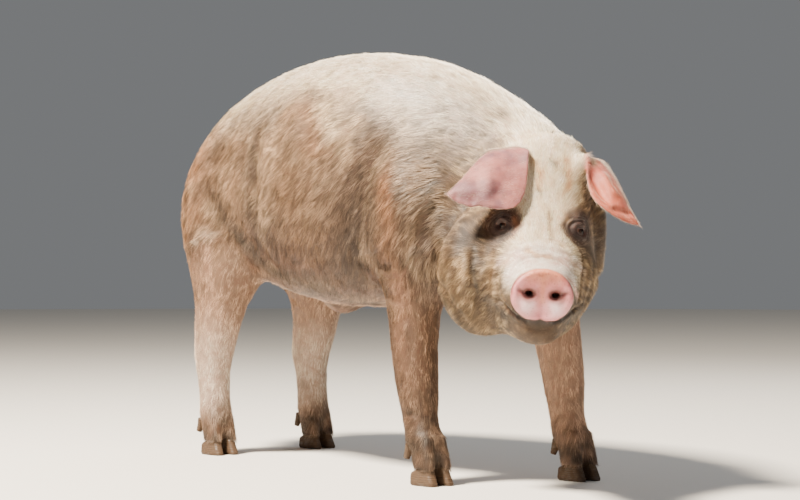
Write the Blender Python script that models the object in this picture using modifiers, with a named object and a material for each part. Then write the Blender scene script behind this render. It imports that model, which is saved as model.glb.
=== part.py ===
"""Domestic pig, a still life-size model that stands on its four feet.

The flesh is modelled whole, from lofts and ellipsoids fused by a voxel remesh, and is then
parted by thin cuts into head, neck, torso, tail and legs. Ears, eyes, claws and dewclaws are
separate solids that meet the flesh face to face. The pig heads along +X with its head turned
to its right, its left side is +Y and the floor is z = 0. All sizes are in metres.
"""
import math

import bmesh
import bpy
from mathutils import Matrix, Vector
from mathutils.bvhtree import BVHTree

# The clearance that touching pieces keep
GAP = 0.0003

# Trunk stations: distance along the body, top, bottom, half width, height of the widest point
# and how square the section is
TRUNK = [
    (-0.585, 0.620, 0.500, 0.045, 0.560, 2.0),
    (-0.560, 0.680, 0.450, 0.100, 0.555, 2.0),
    (-0.510, 0.733, 0.430, 0.142, 0.560, 2.05),
    (-0.400, 0.790, 0.408, 0.180, 0.570, 2.1),
    (-0.250, 0.834, 0.360, 0.200, 0.575, 2.2),
    (-0.100, 0.854, 0.334, 0.216, 0.575, 2.3),
    (0.050, 0.855, 0.328, 0.225, 0.565, 2.3),
    (0.180, 0.837, 0.330, 0.219, 0.560, 2.25),
    (0.270, 0.812, 0.335, 0.208, 0.555, 2.2),
    (0.360, 0.775, 0.345, 0.196, 0.550, 2.1),
    (0.440, 0.722, 0.372, 0.160, 0.550, 2.1),
    (0.490, 0.670, 0.410, 0.110, 0.545, 2.0),
]
TRUNK_RINGS = 44

# Head stations, in the head's frame: place forward, top, bottom, half width, widest height
# and squareness
HEAD = [
    (-0.170, 0.150, -0.185, 0.104, -0.040, 2.1),
    (-0.125, 0.172, -0.198, 0.106, -0.050, 2.2),
    (-0.090, 0.163, -0.204, 0.105, -0.060, 2.3),
    (-0.055, 0.122, -0.207, 0.102, -0.068, 2.4),
    (-0.020, 0.063, -0.207, 0.097, -0.078, 2.4),
    (0.020, 0.004, -0.206, 0.085, -0.090, 2.4),
    (0.060, -0.034, -0.202, 0.072, -0.105, 2.4),
    (0.100, -0.058, -0.190, 0.061, -0.115, 2.4),
    (0.135, -0.070, -0.174, 0.053, -0.120, 2.4),
    (0.158, -0.075, -0.165, 0.050, -0.121, 2.4),
]

# The chin and lower jaw, in the same order
JAW = [
    (0.000, -0.110, -0.206, 0.062, -0.155, 2.2),
    (0.040, -0.130, -0.209, 0.055, -0.165, 2.2),
    (0.080, -0.145, -0.210, 0.047, -0.174, 2.2),
    (0.115, -0.155, -0.209, 0.039, -0.179, 2.2),
    (0.138, -0.163, -0.201, 0.030, -0.181, 2.1),
    (0.149, -0.171, -0.191, 0.017, -0.180, 2.0),
]

# The head's frame: the point between the eyes, its turn to the right and its lean
EYE_LINE = Vector((0.6690, -0.090, 0.484))
HEAD_YAW = math.radians(-36.0)
HEAD_LEAN = math.radians(4.5)

# Muzzle and snout, in the head's frame (forward, left, up)
DISC_CENTRE = Vector((0.170, 0.0, -0.121))
DISC_HALF_WIDTH = 0.0550
DISC_HALF_HEIGHT = 0.0475
DISC_THICKNESS = 0.024
DISC_RIM = 0.005
DISC_TILT = math.radians(8.0)
NOSTRIL_SPREAD = 0.0222
NOSTRIL_SIZE = Vector((0.022, 0.0095, 0.0080))
MOUTH_HEIGHT = -0.166
MOUTH_CORNER = Vector((0.015, 0.072, -0.128))
MOUTH_GROOVE = 0.0028

# Eyes, in the head's frame
EYE_SPREAD = 0.0640
EYE_DEPTH = -0.008
EYEBALL_RADIUS = 0.0120
EYE_OUTWARD = math.radians(50.0)
LID_THICKNESS = 0.0028
EYE_OPENING = (0.0105, 0.0062)

# Ears, right (-1) and left (1): inner and outer rim from root to tip in the head's frame, as
# forward, outward and up. The leaf between them arches and has a shallow fold near its inner rim.
EARS = {
    -1: (
        [
            (-0.088, 0.028, 0.104), (-0.056, 0.030, 0.142), (-0.030, 0.031, 0.100),
            (-0.006, 0.034, 0.062), (0.014, 0.048, 0.035), (0.024, 0.074, 0.025),
            (0.020, 0.108, 0.029), (0.012, 0.144, 0.028), (0.002, 0.180, 0.046),
        ],
        [
            (-0.130, 0.080, 0.090), (-0.122, 0.084, 0.128), (-0.098, 0.096, 0.138),
            (-0.072, 0.112, 0.128), (-0.050, 0.128, 0.110), (-0.032, 0.142, 0.090),
            (-0.018, 0.154, 0.074), (-0.006, 0.167, 0.059), (0.002, 0.180, 0.046),
        ],
    ),
    1: (
        [
            (-0.095, 0.060, 0.090), (-0.070, 0.074, 0.143), (-0.044, 0.076, 0.110),
            (-0.022, 0.080, 0.080), (-0.002, 0.090, 0.058), (0.008, 0.113, 0.040),
            (0.006, 0.135, 0.028), (-0.002, 0.158, 0.020), (-0.010, 0.180, 0.016),
        ],
        [
            (-0.140, 0.085, 0.080), (-0.138, 0.096, 0.118), (-0.122, 0.112, 0.126),
            (-0.104, 0.125, 0.113), (-0.086, 0.136, 0.095), (-0.066, 0.146, 0.074),
            (-0.046, 0.156, 0.052), (-0.026, 0.168, 0.032), (-0.010, 0.180, 0.016),
        ],
    ),
}
EAR_ROOTS = {-1: Vector((-0.094, 0.056, 0.106)), 1: Vector((-0.086, 0.074, 0.110))}
EAR_ROOT_RADII = (0.036, 0.034, 0.036)
EAR_ROWS = 15
EAR_COLUMNS = 10
EAR_TIP_SHARE = 0.970
EAR_ARCH = 0.14
EAR_FOLD_PLACE = 0.45
EAR_FOLD_DEPTH = 0.045
EAR_THICKNESS = 0.0042

# Legs: foot places on the floor, and how far apart the two claws stand
FOOT_HIND_RIGHT = Vector((-0.385, -0.135, 0.0))
FOOT_HIND_LEFT = Vector((-0.398, 0.130, 0.0))
FOOT_FORE_RIGHT = Vector((0.400, -0.140, 0.0))
FOOT_FORE_LEFT = Vector((0.487, 0.150, 0.0))

# Sections of a hind leg: height, place fore and aft of the foot, across, and half sizes
HIND_LEG = [
    (0.480, 0.020, 0.010, 0.130, 0.085),
    (0.400, 0.018, 0.008, 0.102, 0.074),
    (0.340, 0.008, 0.004, 0.078, 0.056),
    (0.290, -0.002, 0.000, 0.064, 0.047),
    (0.250, -0.012, 0.000, 0.060, 0.043),
    (0.215, -0.023, 0.000, 0.055, 0.039),
    (0.180, -0.022, 0.000, 0.043, 0.036),
    (0.135, -0.018, 0.000, 0.036, 0.034),
    (0.095, -0.014, 0.000, 0.036, 0.036),
    (0.065, -0.006, 0.000, 0.038, 0.039),
]

# Sections of a foreleg, in the same order
FORE_LEG = [
    (0.480, -0.080, 0.020, 0.110, 0.070),
    (0.400, -0.072, 0.014, 0.084, 0.062),
    (0.340, -0.066, 0.010, 0.062, 0.052),
    (0.280, -0.058, 0.004, 0.052, 0.046),
    (0.220, -0.048, 0.000, 0.047, 0.043),
    (0.175, -0.040, 0.000, 0.043, 0.040),
    (0.130, -0.033, 0.000, 0.036, 0.034),
    (0.095, -0.024, 0.000, 0.037, 0.036),
    (0.065, -0.012, 0.000, 0.039, 0.040),
]

# Toes: how high they start and end, how far apart and how thick they are
TOE_RINGS = 7
TOE_TOP = 0.095
TOE_BOTTOM = 0.026
TOE_SPREAD_TOP = 0.013
TOE_SPREAD_BOTTOM = 0.0205
TOE_SET_BACK = -0.012
TOE_SET_FORWARD = 0.008
TOE_HALF_LENGTH = 0.030
TOE_HALF_WIDTH = 0.0210

# Claws and dewclaws
CLAW_LENGTH = 0.064
CLAW_WIDTH = 0.034
CLAW_HEIGHT = 0.040
CLAW_SPREAD = 0.0205
CLAW_SPLAY = math.radians(5.0)
DEWCLAW_HEIGHT = 0.062
DEWCLAW_SPREAD = 0.021
DEWCLAW_BACK = -0.042
DEWCLAW_LENGTH = 0.030
DEWCLAW_RADIUS = 0.0100
DEWCLAW_TIP_RADIUS = 0.0060
DEWCLAW_HANG = math.radians(14.0)

# Tail
TAIL_ROOT = Vector((-0.520, 0.0, 0.684))
TAIL_REACH = 0.101
TAIL_DROP = 0.048
TAIL_CURL_START = 0.40
TAIL_CURL_TURN = math.radians(430)
TAIL_CURL_RADIUS = 0.022
TAIL_CURL_TIGHTENING = 0.008
TAIL_CURL_OPENING = 0.40
TAIL_CURL_FALL = 0.084
TAIL_ROOT_RADIUS = 0.019
TAIL_TIP_RADIUS = 0.0045
TAIL_POINTS = 34

# Teats: rows, spacing and size
TEATS_PER_ROW = 6
TEAT_ROW_HALF_SPREAD = 0.060
TEAT_FRONT = 0.195
TEAT_REAR = -0.235
TEAT_RADIUS = 0.0060
TEAT_LENGTH = 0.014

# Where the whole is parted: leg regions fore and aft, their creases, and the head's and neck's cuts
FORE_LEG_REGION = (-0.180, 0.072)
HIND_LEG_REGION = (-0.260, 0.125)
ARMPIT_HEIGHT = 0.365
GROIN_HEIGHT = 0.415
LEG_REGION_INNER = 0.040
LEG_REGION_OUTER = 0.320
LEG_REGION_RISE = 0.120
HEAD_CUT = -0.140
NECK_CUT = 0.415
NECK_CUT_SLOPE = math.radians(-16.0)

# Finishes by the start of a node's name: colour and roughness
SKIN_COLOUR = (0.80, 0.60, 0.47)
FINISHES = {
    "torso": (SKIN_COLOUR, 0.62),
    "neck": (SKIN_COLOUR, 0.62),
    "head": (SKIN_COLOUR, 0.60),
    "tail": (SKIN_COLOUR, 0.62),
    "foreleg": ((0.70, 0.48, 0.38), 0.65),
    "hindleg": ((0.72, 0.51, 0.41), 0.65),
    "ear": ((0.68, 0.42, 0.38), 0.55),
    "eye": ((0.010, 0.007, 0.006), 0.10),
    "foreclaw": ((0.13, 0.08, 0.06), 0.45),
    "hindclaw": ((0.13, 0.08, 0.06), 0.45),
    "foredewclaw": ((0.13, 0.08, 0.06), 0.45),
    "hinddewclaw": ((0.13, 0.08, 0.06), 0.45),
}

# Surface making
COARSE_VOXEL = 0.008
FINE_VOXEL = 0.005
FLESH_TRIANGLES = 6400

PARTS_NAME = "domestic_pig"
CUTTERS_NAME = "cutters"


def clear_scene():
    """Remove every object that the file opened with."""
    for thing in list(bpy.data.objects):
        bpy.data.objects.remove(thing, do_unlink=True)


def new_collection(name, hidden=False):
    """Make a collection under the scene's own."""
    folder = bpy.data.collections.new(name)
    bpy.context.scene.collection.children.link(folder)
    folder.hide_render = hidden
    return folder


def new_object(name, bm, folder):
    """Turn a bmesh into a named object in a collection."""
    bmesh.ops.recalc_face_normals(bm, faces=bm.faces)
    mesh = bpy.data.meshes.new(name)
    bm.to_mesh(mesh)
    bm.free()
    thing = bpy.data.objects.new(name, mesh)
    folder.objects.link(thing)
    return thing


def curve_through(stations, place):
    """Read the values at a place on a smooth curve through rows that start with their place."""
    last = len(stations) - 2
    span = 0
    while span < last and stations[span + 1][0] < place:
        span += 1
    before = stations[max(span - 1, 0)]
    start = stations[span]
    end = stations[span + 1]
    after = stations[min(span + 2, last + 1)]
    length = end[0] - start[0]
    part = min(max((place - start[0]) / length, 0.0), 1.0)
    values = []
    for column in range(1, len(start)):
        slope_in = (end[column] - before[column]) / (end[0] - before[0])
        slope_out = (after[column] - start[column]) / (after[0] - start[0])
        rise = 3 * part ** 2 - 2 * part ** 3
        values.append(
            (1 - rise) * start[column] + rise * end[column]
            + length * slope_in * (part ** 3 - 2 * part ** 2 + part)
            + length * slope_out * (part ** 3 - part ** 2)
        )
    return values


def rounded_ring(bm, centre, across, upward, half_width, rise, drop, squareness=2.0, sides=32):
    """Add one closed ring of vertices, a rounded section with its own rise and drop."""
    ring = []
    for step in range(sides):
        angle = math.tau * step / sides
        side = math.copysign(abs(math.cos(angle)) ** (2 / squareness), math.cos(angle))
        lift = math.copysign(abs(math.sin(angle)) ** (2 / squareness), math.sin(angle))
        height = rise if lift > 0 else drop
        ring.append(bm.verts.new(centre + across * half_width * side + upward * height * lift))
    return ring


def skin_rings(bm, rings):
    """Join rings of equal count into one closed surface."""
    for first, second in zip(rings, rings[1:]):
        count = len(first)
        for step in range(count):
            following = (step + 1) % count
            bm.faces.new((first[step], first[following], second[following], second[step]))
    bm.faces.new(rings[0])
    bm.faces.new(rings[-1])


def ellipsoid(name, centre, radii, folder, turn=None, place=None, sides=20):
    """Add an ellipsoid, turned and then set at its centre, inside an optional outer frame."""
    bm = bmesh.new()
    bmesh.ops.create_uvsphere(bm, u_segments=sides, v_segments=sides * 3 // 5, radius=1.0)
    shape = Matrix.Diagonal((*radii, 1.0))
    frame = Matrix.Translation(centre) @ (turn.to_4x4() if turn else Matrix.Identity(4)) @ shape
    if place:
        frame = place @ frame
    bm.transform(frame)
    return new_object(name, bm, folder)


def head_frame():
    """The head's frame, from its place, turn and lean."""
    turn = Matrix.Rotation(HEAD_YAW, 4, "Z")
    return Matrix.Translation(EYE_LINE) @ turn @ Matrix.Rotation(-HEAD_LEAN, 4, "X")


def trunk_mass(folder):
    """The barrel of the body, from buttocks to chest, as a loft through its stations."""
    bm = bmesh.new()
    rings = []
    front = TRUNK[-1][0]
    rear = TRUNK[0][0]
    for step in range(TRUNK_RINGS):
        place = rear + (front - rear) * step / (TRUNK_RINGS - 1)
        top, bottom, half, middle, square = curve_through(TRUNK, place)
        rings.append(
            rounded_ring(
                bm, Vector((place, 0.0, middle)), Vector((0, 1, 0)), Vector((0, 0, 1)),
                half, top - middle, middle - bottom, square,
            )
        )
    skin_rings(bm, rings)
    return new_object("trunk_mass", bm, folder)


def body_masses(folder):
    """Hams, shoulders, breast and sheath, laid over the barrel on both sides."""
    masses = []
    for side in (-1, 1):
        step_forward = 0.030 if side > 0 else 0.0
        tilt = Matrix.Rotation(math.radians(-10), 4, "Y") @ Matrix.Rotation(side * 0.10, 4, "X")
        masses.append(ellipsoid(
            "ham", Vector((-0.400, side * 0.092, 0.530)), (0.160, 0.096, 0.200), folder, tilt))
        masses.append(ellipsoid(
            "lower_ham", Vector((-0.378, side * 0.118, 0.420)), (0.108, 0.074, 0.105), folder))
        lean = Matrix.Rotation(math.radians(12), 4, "Y")
        masses.append(ellipsoid(
            "shoulder", Vector((0.325 + step_forward, side * 0.112, 0.530)),
            (0.115, 0.100, 0.180), folder, lean))
        masses.append(ellipsoid(
            "upper_arm", Vector((0.335 + step_forward, side * 0.122, 0.420)),
            (0.100, 0.070, 0.100), folder))
    masses.append(ellipsoid("breast", Vector((0.440, 0.000, 0.470)), (0.080, 0.125, 0.125), folder))
    masses.append(ellipsoid("sheath", Vector((-0.100, 0.0, 0.328)), (0.070, 0.020, 0.024), folder))
    return masses


def neck_mass(folder):
    """The neck, a loft that bends from the shoulders into the back of the turned head."""
    place = head_frame()
    forward = place.to_3x3() @ Vector((1, 0, 0))
    left = place.to_3x3() @ Vector((0, 1, 0))
    upward = place.to_3x3() @ Vector((0, 0, 1))
    start = Vector((0.330, 0.0, 0.570))
    end = place @ Vector((-0.090, 0.0, -0.025))
    steps = 12
    bm = bmesh.new()
    rings = []
    for step in range(steps + 1):
        part = step / steps
        ease = part * part * (3 - 2 * part)
        pull_start = start + Vector((0.10, 0, -0.02))
        pull_end = end - forward * 0.06
        centre = (
            start * (1 - part) ** 3 + pull_start * 3 * part * (1 - part) ** 2
            + pull_end * 3 * part ** 2 * (1 - part) + end * part ** 3
        )
        across = Vector((0, 1, 0)).lerp(left, ease).normalized()
        lift = Vector((0, 0, 1)).lerp(upward, ease).normalized()
        half = 0.195 + (0.124 - 0.195) * part
        rise = 0.215 + (0.185 - 0.215) * part
        drop = 0.200 + (0.178 - 0.200) * part
        rings.append(rounded_ring(bm, centre, across, lift, half, rise, drop, 2.2))
    skin_rings(bm, rings)
    return new_object("neck_mass", bm, folder)


def head_masses(folder):
    """Skull, jaw, cheeks, jowls and brows, in the head's frame."""
    place = head_frame()
    masses = [profile_loft("skull", HEAD, folder, 22), profile_loft("jaw", JAW, folder, 12)]
    masses.append(ellipsoid(
        "folded_jowl", Vector((-0.085, -0.088, -0.086)), (0.095, 0.095, 0.122), folder, place=place))
    masses.append(ellipsoid(
        "poll", Vector((-0.150, 0.018, 0.118)), (0.070, 0.078, 0.068), folder, place=place))
    for side in (-1, 1):
        masses.append(ellipsoid(
            "cheek", Vector((-0.050, side * 0.070, -0.085)), (0.075, 0.042, 0.070),
            folder, place=place))
        masses.append(ellipsoid(
            "brow", Vector((-0.012, side * 0.060, 0.018)), (0.026, 0.022, 0.014),
            folder, place=place))
        masses.append(ellipsoid(
            "ear_root", EAR_ROOTS[side] * Vector((1, side, 1)), EAR_ROOT_RADII,
            folder, place=place))
    return masses


def profile_loft(name, stations, folder, count):
    """A loft along the head through rows of stations."""
    bm = bmesh.new()
    rings = []
    rear = stations[0][0]
    front = stations[-1][0]
    for step in range(count):
        along = rear + (front - rear) * step / (count - 1)
        top, bottom, half, middle, square = curve_through(stations, along)
        rings.append(rounded_ring(
            bm, Vector((along, 0, middle)), Vector((0, 1, 0)), Vector((0, 0, 1)),
            half, top - middle, middle - bottom, square, 28))
    skin_rings(bm, rings)
    bm.transform(head_frame())
    return new_object(name, bm, folder)


def disc_frame():
    """The frame of the snout disc, whose forward axis is square to its face."""
    return head_frame() @ Matrix.Translation(DISC_CENTRE) @ Matrix.Rotation(DISC_TILT, 4, "Y")


def add_disc(head, cutters):
    """Fuse the flat rooting disc to the end of the muzzle, with a rolled rim."""
    bm = bmesh.new()
    bmesh.ops.create_cone(
        bm, cap_ends=True, segments=32, radius1=1.0, radius2=1.0, depth=DISC_THICKNESS)
    bm.transform(
        disc_frame() @ Matrix.Translation((-DISC_THICKNESS / 2, 0, 0))
        @ Matrix.Diagonal((1, DISC_HALF_WIDTH, DISC_HALF_HEIGHT, 1))
        @ Matrix.Rotation(math.pi / 2, 4, "Y"))
    bm.normal_update()
    rim = [edge for edge in bm.edges if edge.calc_face_angle(0.0) > math.radians(60)]
    bmesh.ops.bevel(
        bm, geom=rim, offset=DISC_RIM, segments=2, profile=0.5, affect="EDGES", material=-1)
    combine(head, new_object("snout_disc", bm, cutters), "UNION")


def leg_loft(name, foot, side, sections, folder):
    """One leg above its toes, a loft through its sections over its foot's place."""
    bm = bmesh.new()
    rings = []
    top = sections[0][0]
    rows = [(top - row[0], *row[1:]) for row in sections]
    count = 30
    for step in range(count):
        depth = rows[-1][0] * step / (count - 1)
        along, across, half_length, half_width = curve_through(rows, depth)
        centre = Vector((foot.x + along, foot.y - side * across, top - depth))
        rings.append(rounded_ring(
            bm, centre, Vector((1, 0, 0)), Vector((0, 1, 0)),
            half_length, half_width, half_width, 2.1, 20))
    skin_rings(bm, rings)
    return new_object(name, bm, folder)


def toes(foot, folder):
    """The two toes of a foot, from the fetlock down into the claws."""
    made = []
    for side in (-1, 1):
        bm = bmesh.new()
        rings = []
        for step in range(TOE_RINGS):
            part = step / (TOE_RINGS - 1)
            height = TOE_TOP + (TOE_BOTTOM - TOE_TOP) * part
            aside = side * (TOE_SPREAD_TOP + (TOE_SPREAD_BOTTOM - TOE_SPREAD_TOP) * part)
            along = TOE_SET_BACK + (TOE_SET_FORWARD - TOE_SET_BACK) * part
            half_width = TOE_HALF_WIDTH + (CLAW_WIDTH * 0.447 - TOE_HALF_WIDTH) * part
            centre = Vector((foot.x + along, foot.y + aside, height))
            rings.append(rounded_ring(
                bm, centre, Vector((1, 0, 0)), Vector((0, 1, 0)),
                TOE_HALF_LENGTH * (1 - 0.1 * part), half_width, half_width, 2.2, 16))
        skin_rings(bm, rings)
        made.append(new_object("toe", bm, folder))
    return made


def feet():
    """Name, foot place, side and leg sections of the four legs."""
    return [
        ("hindleg_right", FOOT_HIND_RIGHT, -1, HIND_LEG),
        ("hindleg_left", FOOT_HIND_LEFT, 1, HIND_LEG),
        ("foreleg_right", FOOT_FORE_RIGHT, -1, FORE_LEG),
        ("foreleg_left", FOOT_FORE_LEFT, 1, FORE_LEG),
    ]


def fuse(name, pieces, voxel, smoothing, folder):
    """Fuse closed shells into one by a voxel remesh, then smooth it."""
    bm = bmesh.new()
    for piece in pieces:
        bm.from_mesh(piece.data)
        bpy.data.objects.remove(piece, do_unlink=True)
    fused = new_object(name, bm, folder)
    remesh = fused.modifiers.new("fuse", "REMESH")
    remesh.mode = "VOXEL"
    remesh.voxel_size = voxel
    remesh.adaptivity = 0.0
    smooth = fused.modifiers.new("soften", "SMOOTH")
    smooth.factor = 0.5
    smooth.iterations = smoothing
    apply_modifiers(fused)
    return fused


def apply_modifiers(thing):
    """Put an object's evaluated mesh in place of its mesh and modifiers."""
    graph = bpy.context.evaluated_depsgraph_get()
    mesh = bpy.data.meshes.new_from_object(thing.evaluated_get(graph))
    thing.modifiers.clear()
    thing.data = mesh


def thin_out(thing, triangles):
    """Bring a mesh down to about a number of triangles."""
    bm = bmesh.new()
    bm.from_mesh(thing.data)
    bmesh.ops.triangulate(bm, faces=bm.faces)
    bm.to_mesh(thing.data)
    count = len(bm.faces)
    bm.free()
    decimate = thing.modifiers.new("thin", "DECIMATE")
    decimate.ratio = triangles / count
    apply_modifiers(thing)


def keep_largest(thing):
    """Keep only the largest closed surface of a mesh."""
    bm = bmesh.new()
    bm.from_mesh(thing.data)
    bmesh.ops.remove_doubles(bm, verts=bm.verts, dist=1e-6)
    unseen = set(bm.faces)
    shells = []
    while unseen:
        seed = unseen.pop()
        shell = [seed]
        front = [seed]
        while front:
            face = front.pop()
            for edge in face.edges:
                for other in edge.link_faces:
                    if other in unseen:
                        unseen.discard(other)
                        shell.append(other)
                        front.append(other)
        shells.append(shell)
    shells.sort(key=lambda shell: sum(face.calc_area() for face in shell), reverse=True)
    spare = [face for shell in shells[1:] for face in shell]
    bmesh.ops.delete(bm, geom=spare, context="FACES")
    loose = [vert for vert in bm.verts if not vert.link_faces]
    bmesh.ops.delete(bm, geom=loose, context="VERTS")
    bmesh.ops.triangulate(bm, faces=bm.faces)
    bmesh.ops.dissolve_degenerate(bm, dist=1e-6, edges=bm.edges)
    bm.to_mesh(thing.data)
    bm.free()


def combine(thing, cutter, operation):
    """Apply one Boolean to an object and keep its largest closed surface."""
    change = thing.modifiers.new(operation.lower(), "BOOLEAN")
    change.operation = operation
    change.solver = "EXACT"
    change.object = cutter
    apply_modifiers(thing)
    keep_largest(thing)


def copy_of(thing, name, folder):
    """Copy an object with a mesh of its own."""
    mesh = thing.data.copy()
    twin = bpy.data.objects.new(name, mesh)
    folder.objects.link(twin)
    return twin


def swollen_copy(thing, distance, folder):
    """A copy whose surface stands off the original's by a distance."""
    twin = copy_of(thing, thing.name + "_clearance", folder)
    bm = bmesh.new()
    bm.from_mesh(twin.data)
    bm.normal_update()
    shifts = [vert.normal * distance * vert.calc_shell_factor() for vert in bm.verts]
    for vert, shift in zip(bm.verts, shifts):
        vert.co += shift
    bm.to_mesh(twin.data)
    bm.free()
    return twin


def box_cutter(name, low, high, tilt, pivot, folder, outer_rise=0.0):
    """A box between two corners, tilted about a pivot, whose top may rise away from the middle."""
    bm = bmesh.new()
    bmesh.ops.create_cube(bm, size=1.0)
    size = Vector(high) - Vector(low)
    middle = (Vector(high) + Vector(low)) / 2
    bm.transform(Matrix.Translation(middle) @ Matrix.Diagonal((*size, 1)))
    for vert in bm.verts:
        if vert.co.z > middle.z and abs(vert.co.y) > abs(middle.y):
            vert.co.z += outer_rise
    bm.transform(Matrix.Translation(pivot) @ tilt @ Matrix.Translation(-Vector(pivot)))
    cutter = new_object(name, bm, folder)
    cutter.display_type = "WIRE"
    cutter.hide_render = True
    return cutter


def part_off(whole, name, region, parts, cutters):
    """Part a piece off the whole by a closed region, leaving the clearance between the two."""
    piece = copy_of(whole, name, parts)
    clear = swollen_copy(region, GAP, cutters)
    combine(piece, region, "INTERSECT")
    combine(whole, clear, "DIFFERENCE")
    return piece


def flesh(cutters):
    """The whole pig but for ears, eyes, claws and tail, as one closed surface."""
    masses = [trunk_mass(cutters), neck_mass(cutters)]
    masses += body_masses(cutters)
    masses += head_masses(cutters)
    for name, foot, side, sections in feet():
        masses.append(leg_loft(name + "_mass", foot, side, sections, cutters))
    rough = fuse("rough_flesh", masses, COARSE_VOXEL, 10, cutters)
    details = [rough]
    for name, foot, side, sections in feet():
        details += toes(foot, cutters)
    whole = fuse("flesh", details, FINE_VOXEL, 3, cutters)
    thin_out(whole, FLESH_TRIANGLES)
    keep_largest(whole)
    return whole


def eye_frame(side):
    """The frame of one eye, whose forward axis looks out of the opening."""
    centre = Vector((EYE_DEPTH, side * EYE_SPREAD, 0.0))
    return head_frame() @ Matrix.Translation(centre) @ Matrix.Rotation(side * EYE_OUTWARD, 4, "Z")


def make_eye(side, head, parts, cutters):
    """Sink an eyeball in the head, under two lids that leave an almond opening."""
    frame = eye_frame(side)
    lid = ellipsoid("lid", Vector(), (EYEBALL_RADIUS + LID_THICKNESS,) * 3, cutters, place=frame)
    combine(head, lid, "UNION")
    socket = ellipsoid("socket", Vector(), (EYEBALL_RADIUS + GAP,) * 3, cutters, place=frame)
    opening = ellipsoid(
        "opening", Vector((EYEBALL_RADIUS, 0, 0)), (EYEBALL_RADIUS, *EYE_OPENING),
        cutters, place=frame @ Matrix.Rotation(math.radians(-8 * side), 4, "X"))
    combine(socket, opening, "UNION")
    combine(head, socket, "DIFFERENCE")
    ball = ellipsoid(
        "eye_left" if side > 0 else "eye_right", Vector(), (EYEBALL_RADIUS,) * 3, parts, place=frame,
        sides=16)
    return ball


def cut_nostrils(head, cutters):
    """Sink the two nostrils in the disc."""
    for side in (-1, 1):
        hole = ellipsoid(
            "nostril", Vector((0.002, side * NOSTRIL_SPREAD, 0.003)), NOSTRIL_SIZE, cutters,
            Matrix.Rotation(math.radians(18 * side), 4, "X"), disc_frame())
        combine(head, hole, "DIFFERENCE")


def mouth_line():
    """Points of the mouth from its right corner round the front to its left, in the head's frame."""
    points = []
    front = Vector((0.165, 0.0, MOUTH_HEIGHT))
    steps = 24
    for step in range(steps + 1):
        turn = math.pi * (step / steps - 0.5)
        forward = math.cos(turn)
        aside = math.sin(turn)
        along = MOUTH_CORNER.x + (front.x - MOUTH_CORNER.x) * forward ** 0.55
        across = math.copysign(MOUTH_CORNER.y * abs(aside) ** 1.2, aside)
        height = front.z + (MOUTH_CORNER.z - front.z) * (1 - forward) ** 1.5
        points.append(Vector((along, across, height)))
    return points


def cut_mouth(head, cutters):
    """Press the line of the mouth into the muzzle's surface."""
    frame = head_frame()
    bm = bmesh.new()
    bm.from_mesh(head.data)
    tree = BVHTree.FromBMesh(bm)
    bm.free()
    curve = bpy.data.curves.new("mouth", "CURVE")
    curve.dimensions = "3D"
    curve.bevel_depth = MOUTH_GROOVE
    curve.bevel_resolution = 2
    curve.use_fill_caps = True
    spline = curve.splines.new("POLY")
    points = [tree.find_nearest(frame @ point)[0] for point in mouth_line()]
    spline.points.add(len(points) - 1)
    for spot, point in zip(spline.points, points):
        spot.co = (*point, 1.0)
    groove = mesh_from_curve(curve, "mouth_groove", cutters)
    combine(head, groove, "DIFFERENCE")


def mesh_from_curve(curve, name, folder):
    """Turn a curve with filled caps into a closed mesh object."""
    guide = bpy.data.objects.new(name + "_guide", curve)
    folder.objects.link(guide)
    graph = bpy.context.evaluated_depsgraph_get()
    mesh = bpy.data.meshes.new_from_object(guide.evaluated_get(graph))
    bpy.data.objects.remove(guide, do_unlink=True)
    bm = bmesh.new()
    bm.from_mesh(mesh)
    bmesh.ops.remove_doubles(bm, verts=bm.verts, dist=1e-5)
    return new_object(name, bm, folder)


def curved_edge(stations, share):
    """A point on a smooth line through evenly spread stations, at a share of its length."""
    place = min(max(share, 0.0), 1.0) * (len(stations) - 1)
    first = min(int(place), len(stations) - 2)
    part = place - first
    before = Vector(stations[max(first - 1, 0)])
    here = Vector(stations[first])
    there = Vector(stations[first + 1])
    after = Vector(stations[min(first + 2, len(stations) - 1)])
    rise_here = (there - before) / 2
    rise_there = (after - here) / 2
    return (
        here * (2 * part ** 3 - 3 * part ** 2 + 1) + rise_here * (part ** 3 - 2 * part ** 2 + part)
        + there * (3 * part ** 2 - 2 * part ** 3) + rise_there * (part ** 3 - part ** 2))


def ear_grid(side, rows, columns):
    """The points of one ear's leaf, row by row from root to tip, in the head's frame."""
    inner_rim, outer_rim = EARS[side]
    mirror = Vector((1, side, 1))
    points = []
    for row in range(rows + 1):
        along = row / rows * EAR_TIP_SHARE
        inner = curved_edge(inner_rim, along)
        outer = curved_edge(outer_rim, along)
        onward = curved_edge(inner_rim, along + 0.02) - inner
        onward += curved_edge(outer_rim, along + 0.02) - outer
        onward += inner + outer - curved_edge(inner_rim, along - 0.02)
        onward -= curved_edge(outer_rim, along - 0.02)
        chord = outer - inner
        bulge = onward.cross(chord).normalized() * chord.length
        for column in range(columns + 1):
            across = column / columns
            arch = 4 * across * (1 - across)
            fold = math.sin(math.pi * min(across / EAR_FOLD_PLACE, 1.0)) * EAR_FOLD_DEPTH
            lift = EAR_ARCH * arch - fold * math.sin(math.pi * along)
            points.append((inner.lerp(outer, across) + bulge * lift) * mirror)
    return points


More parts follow.
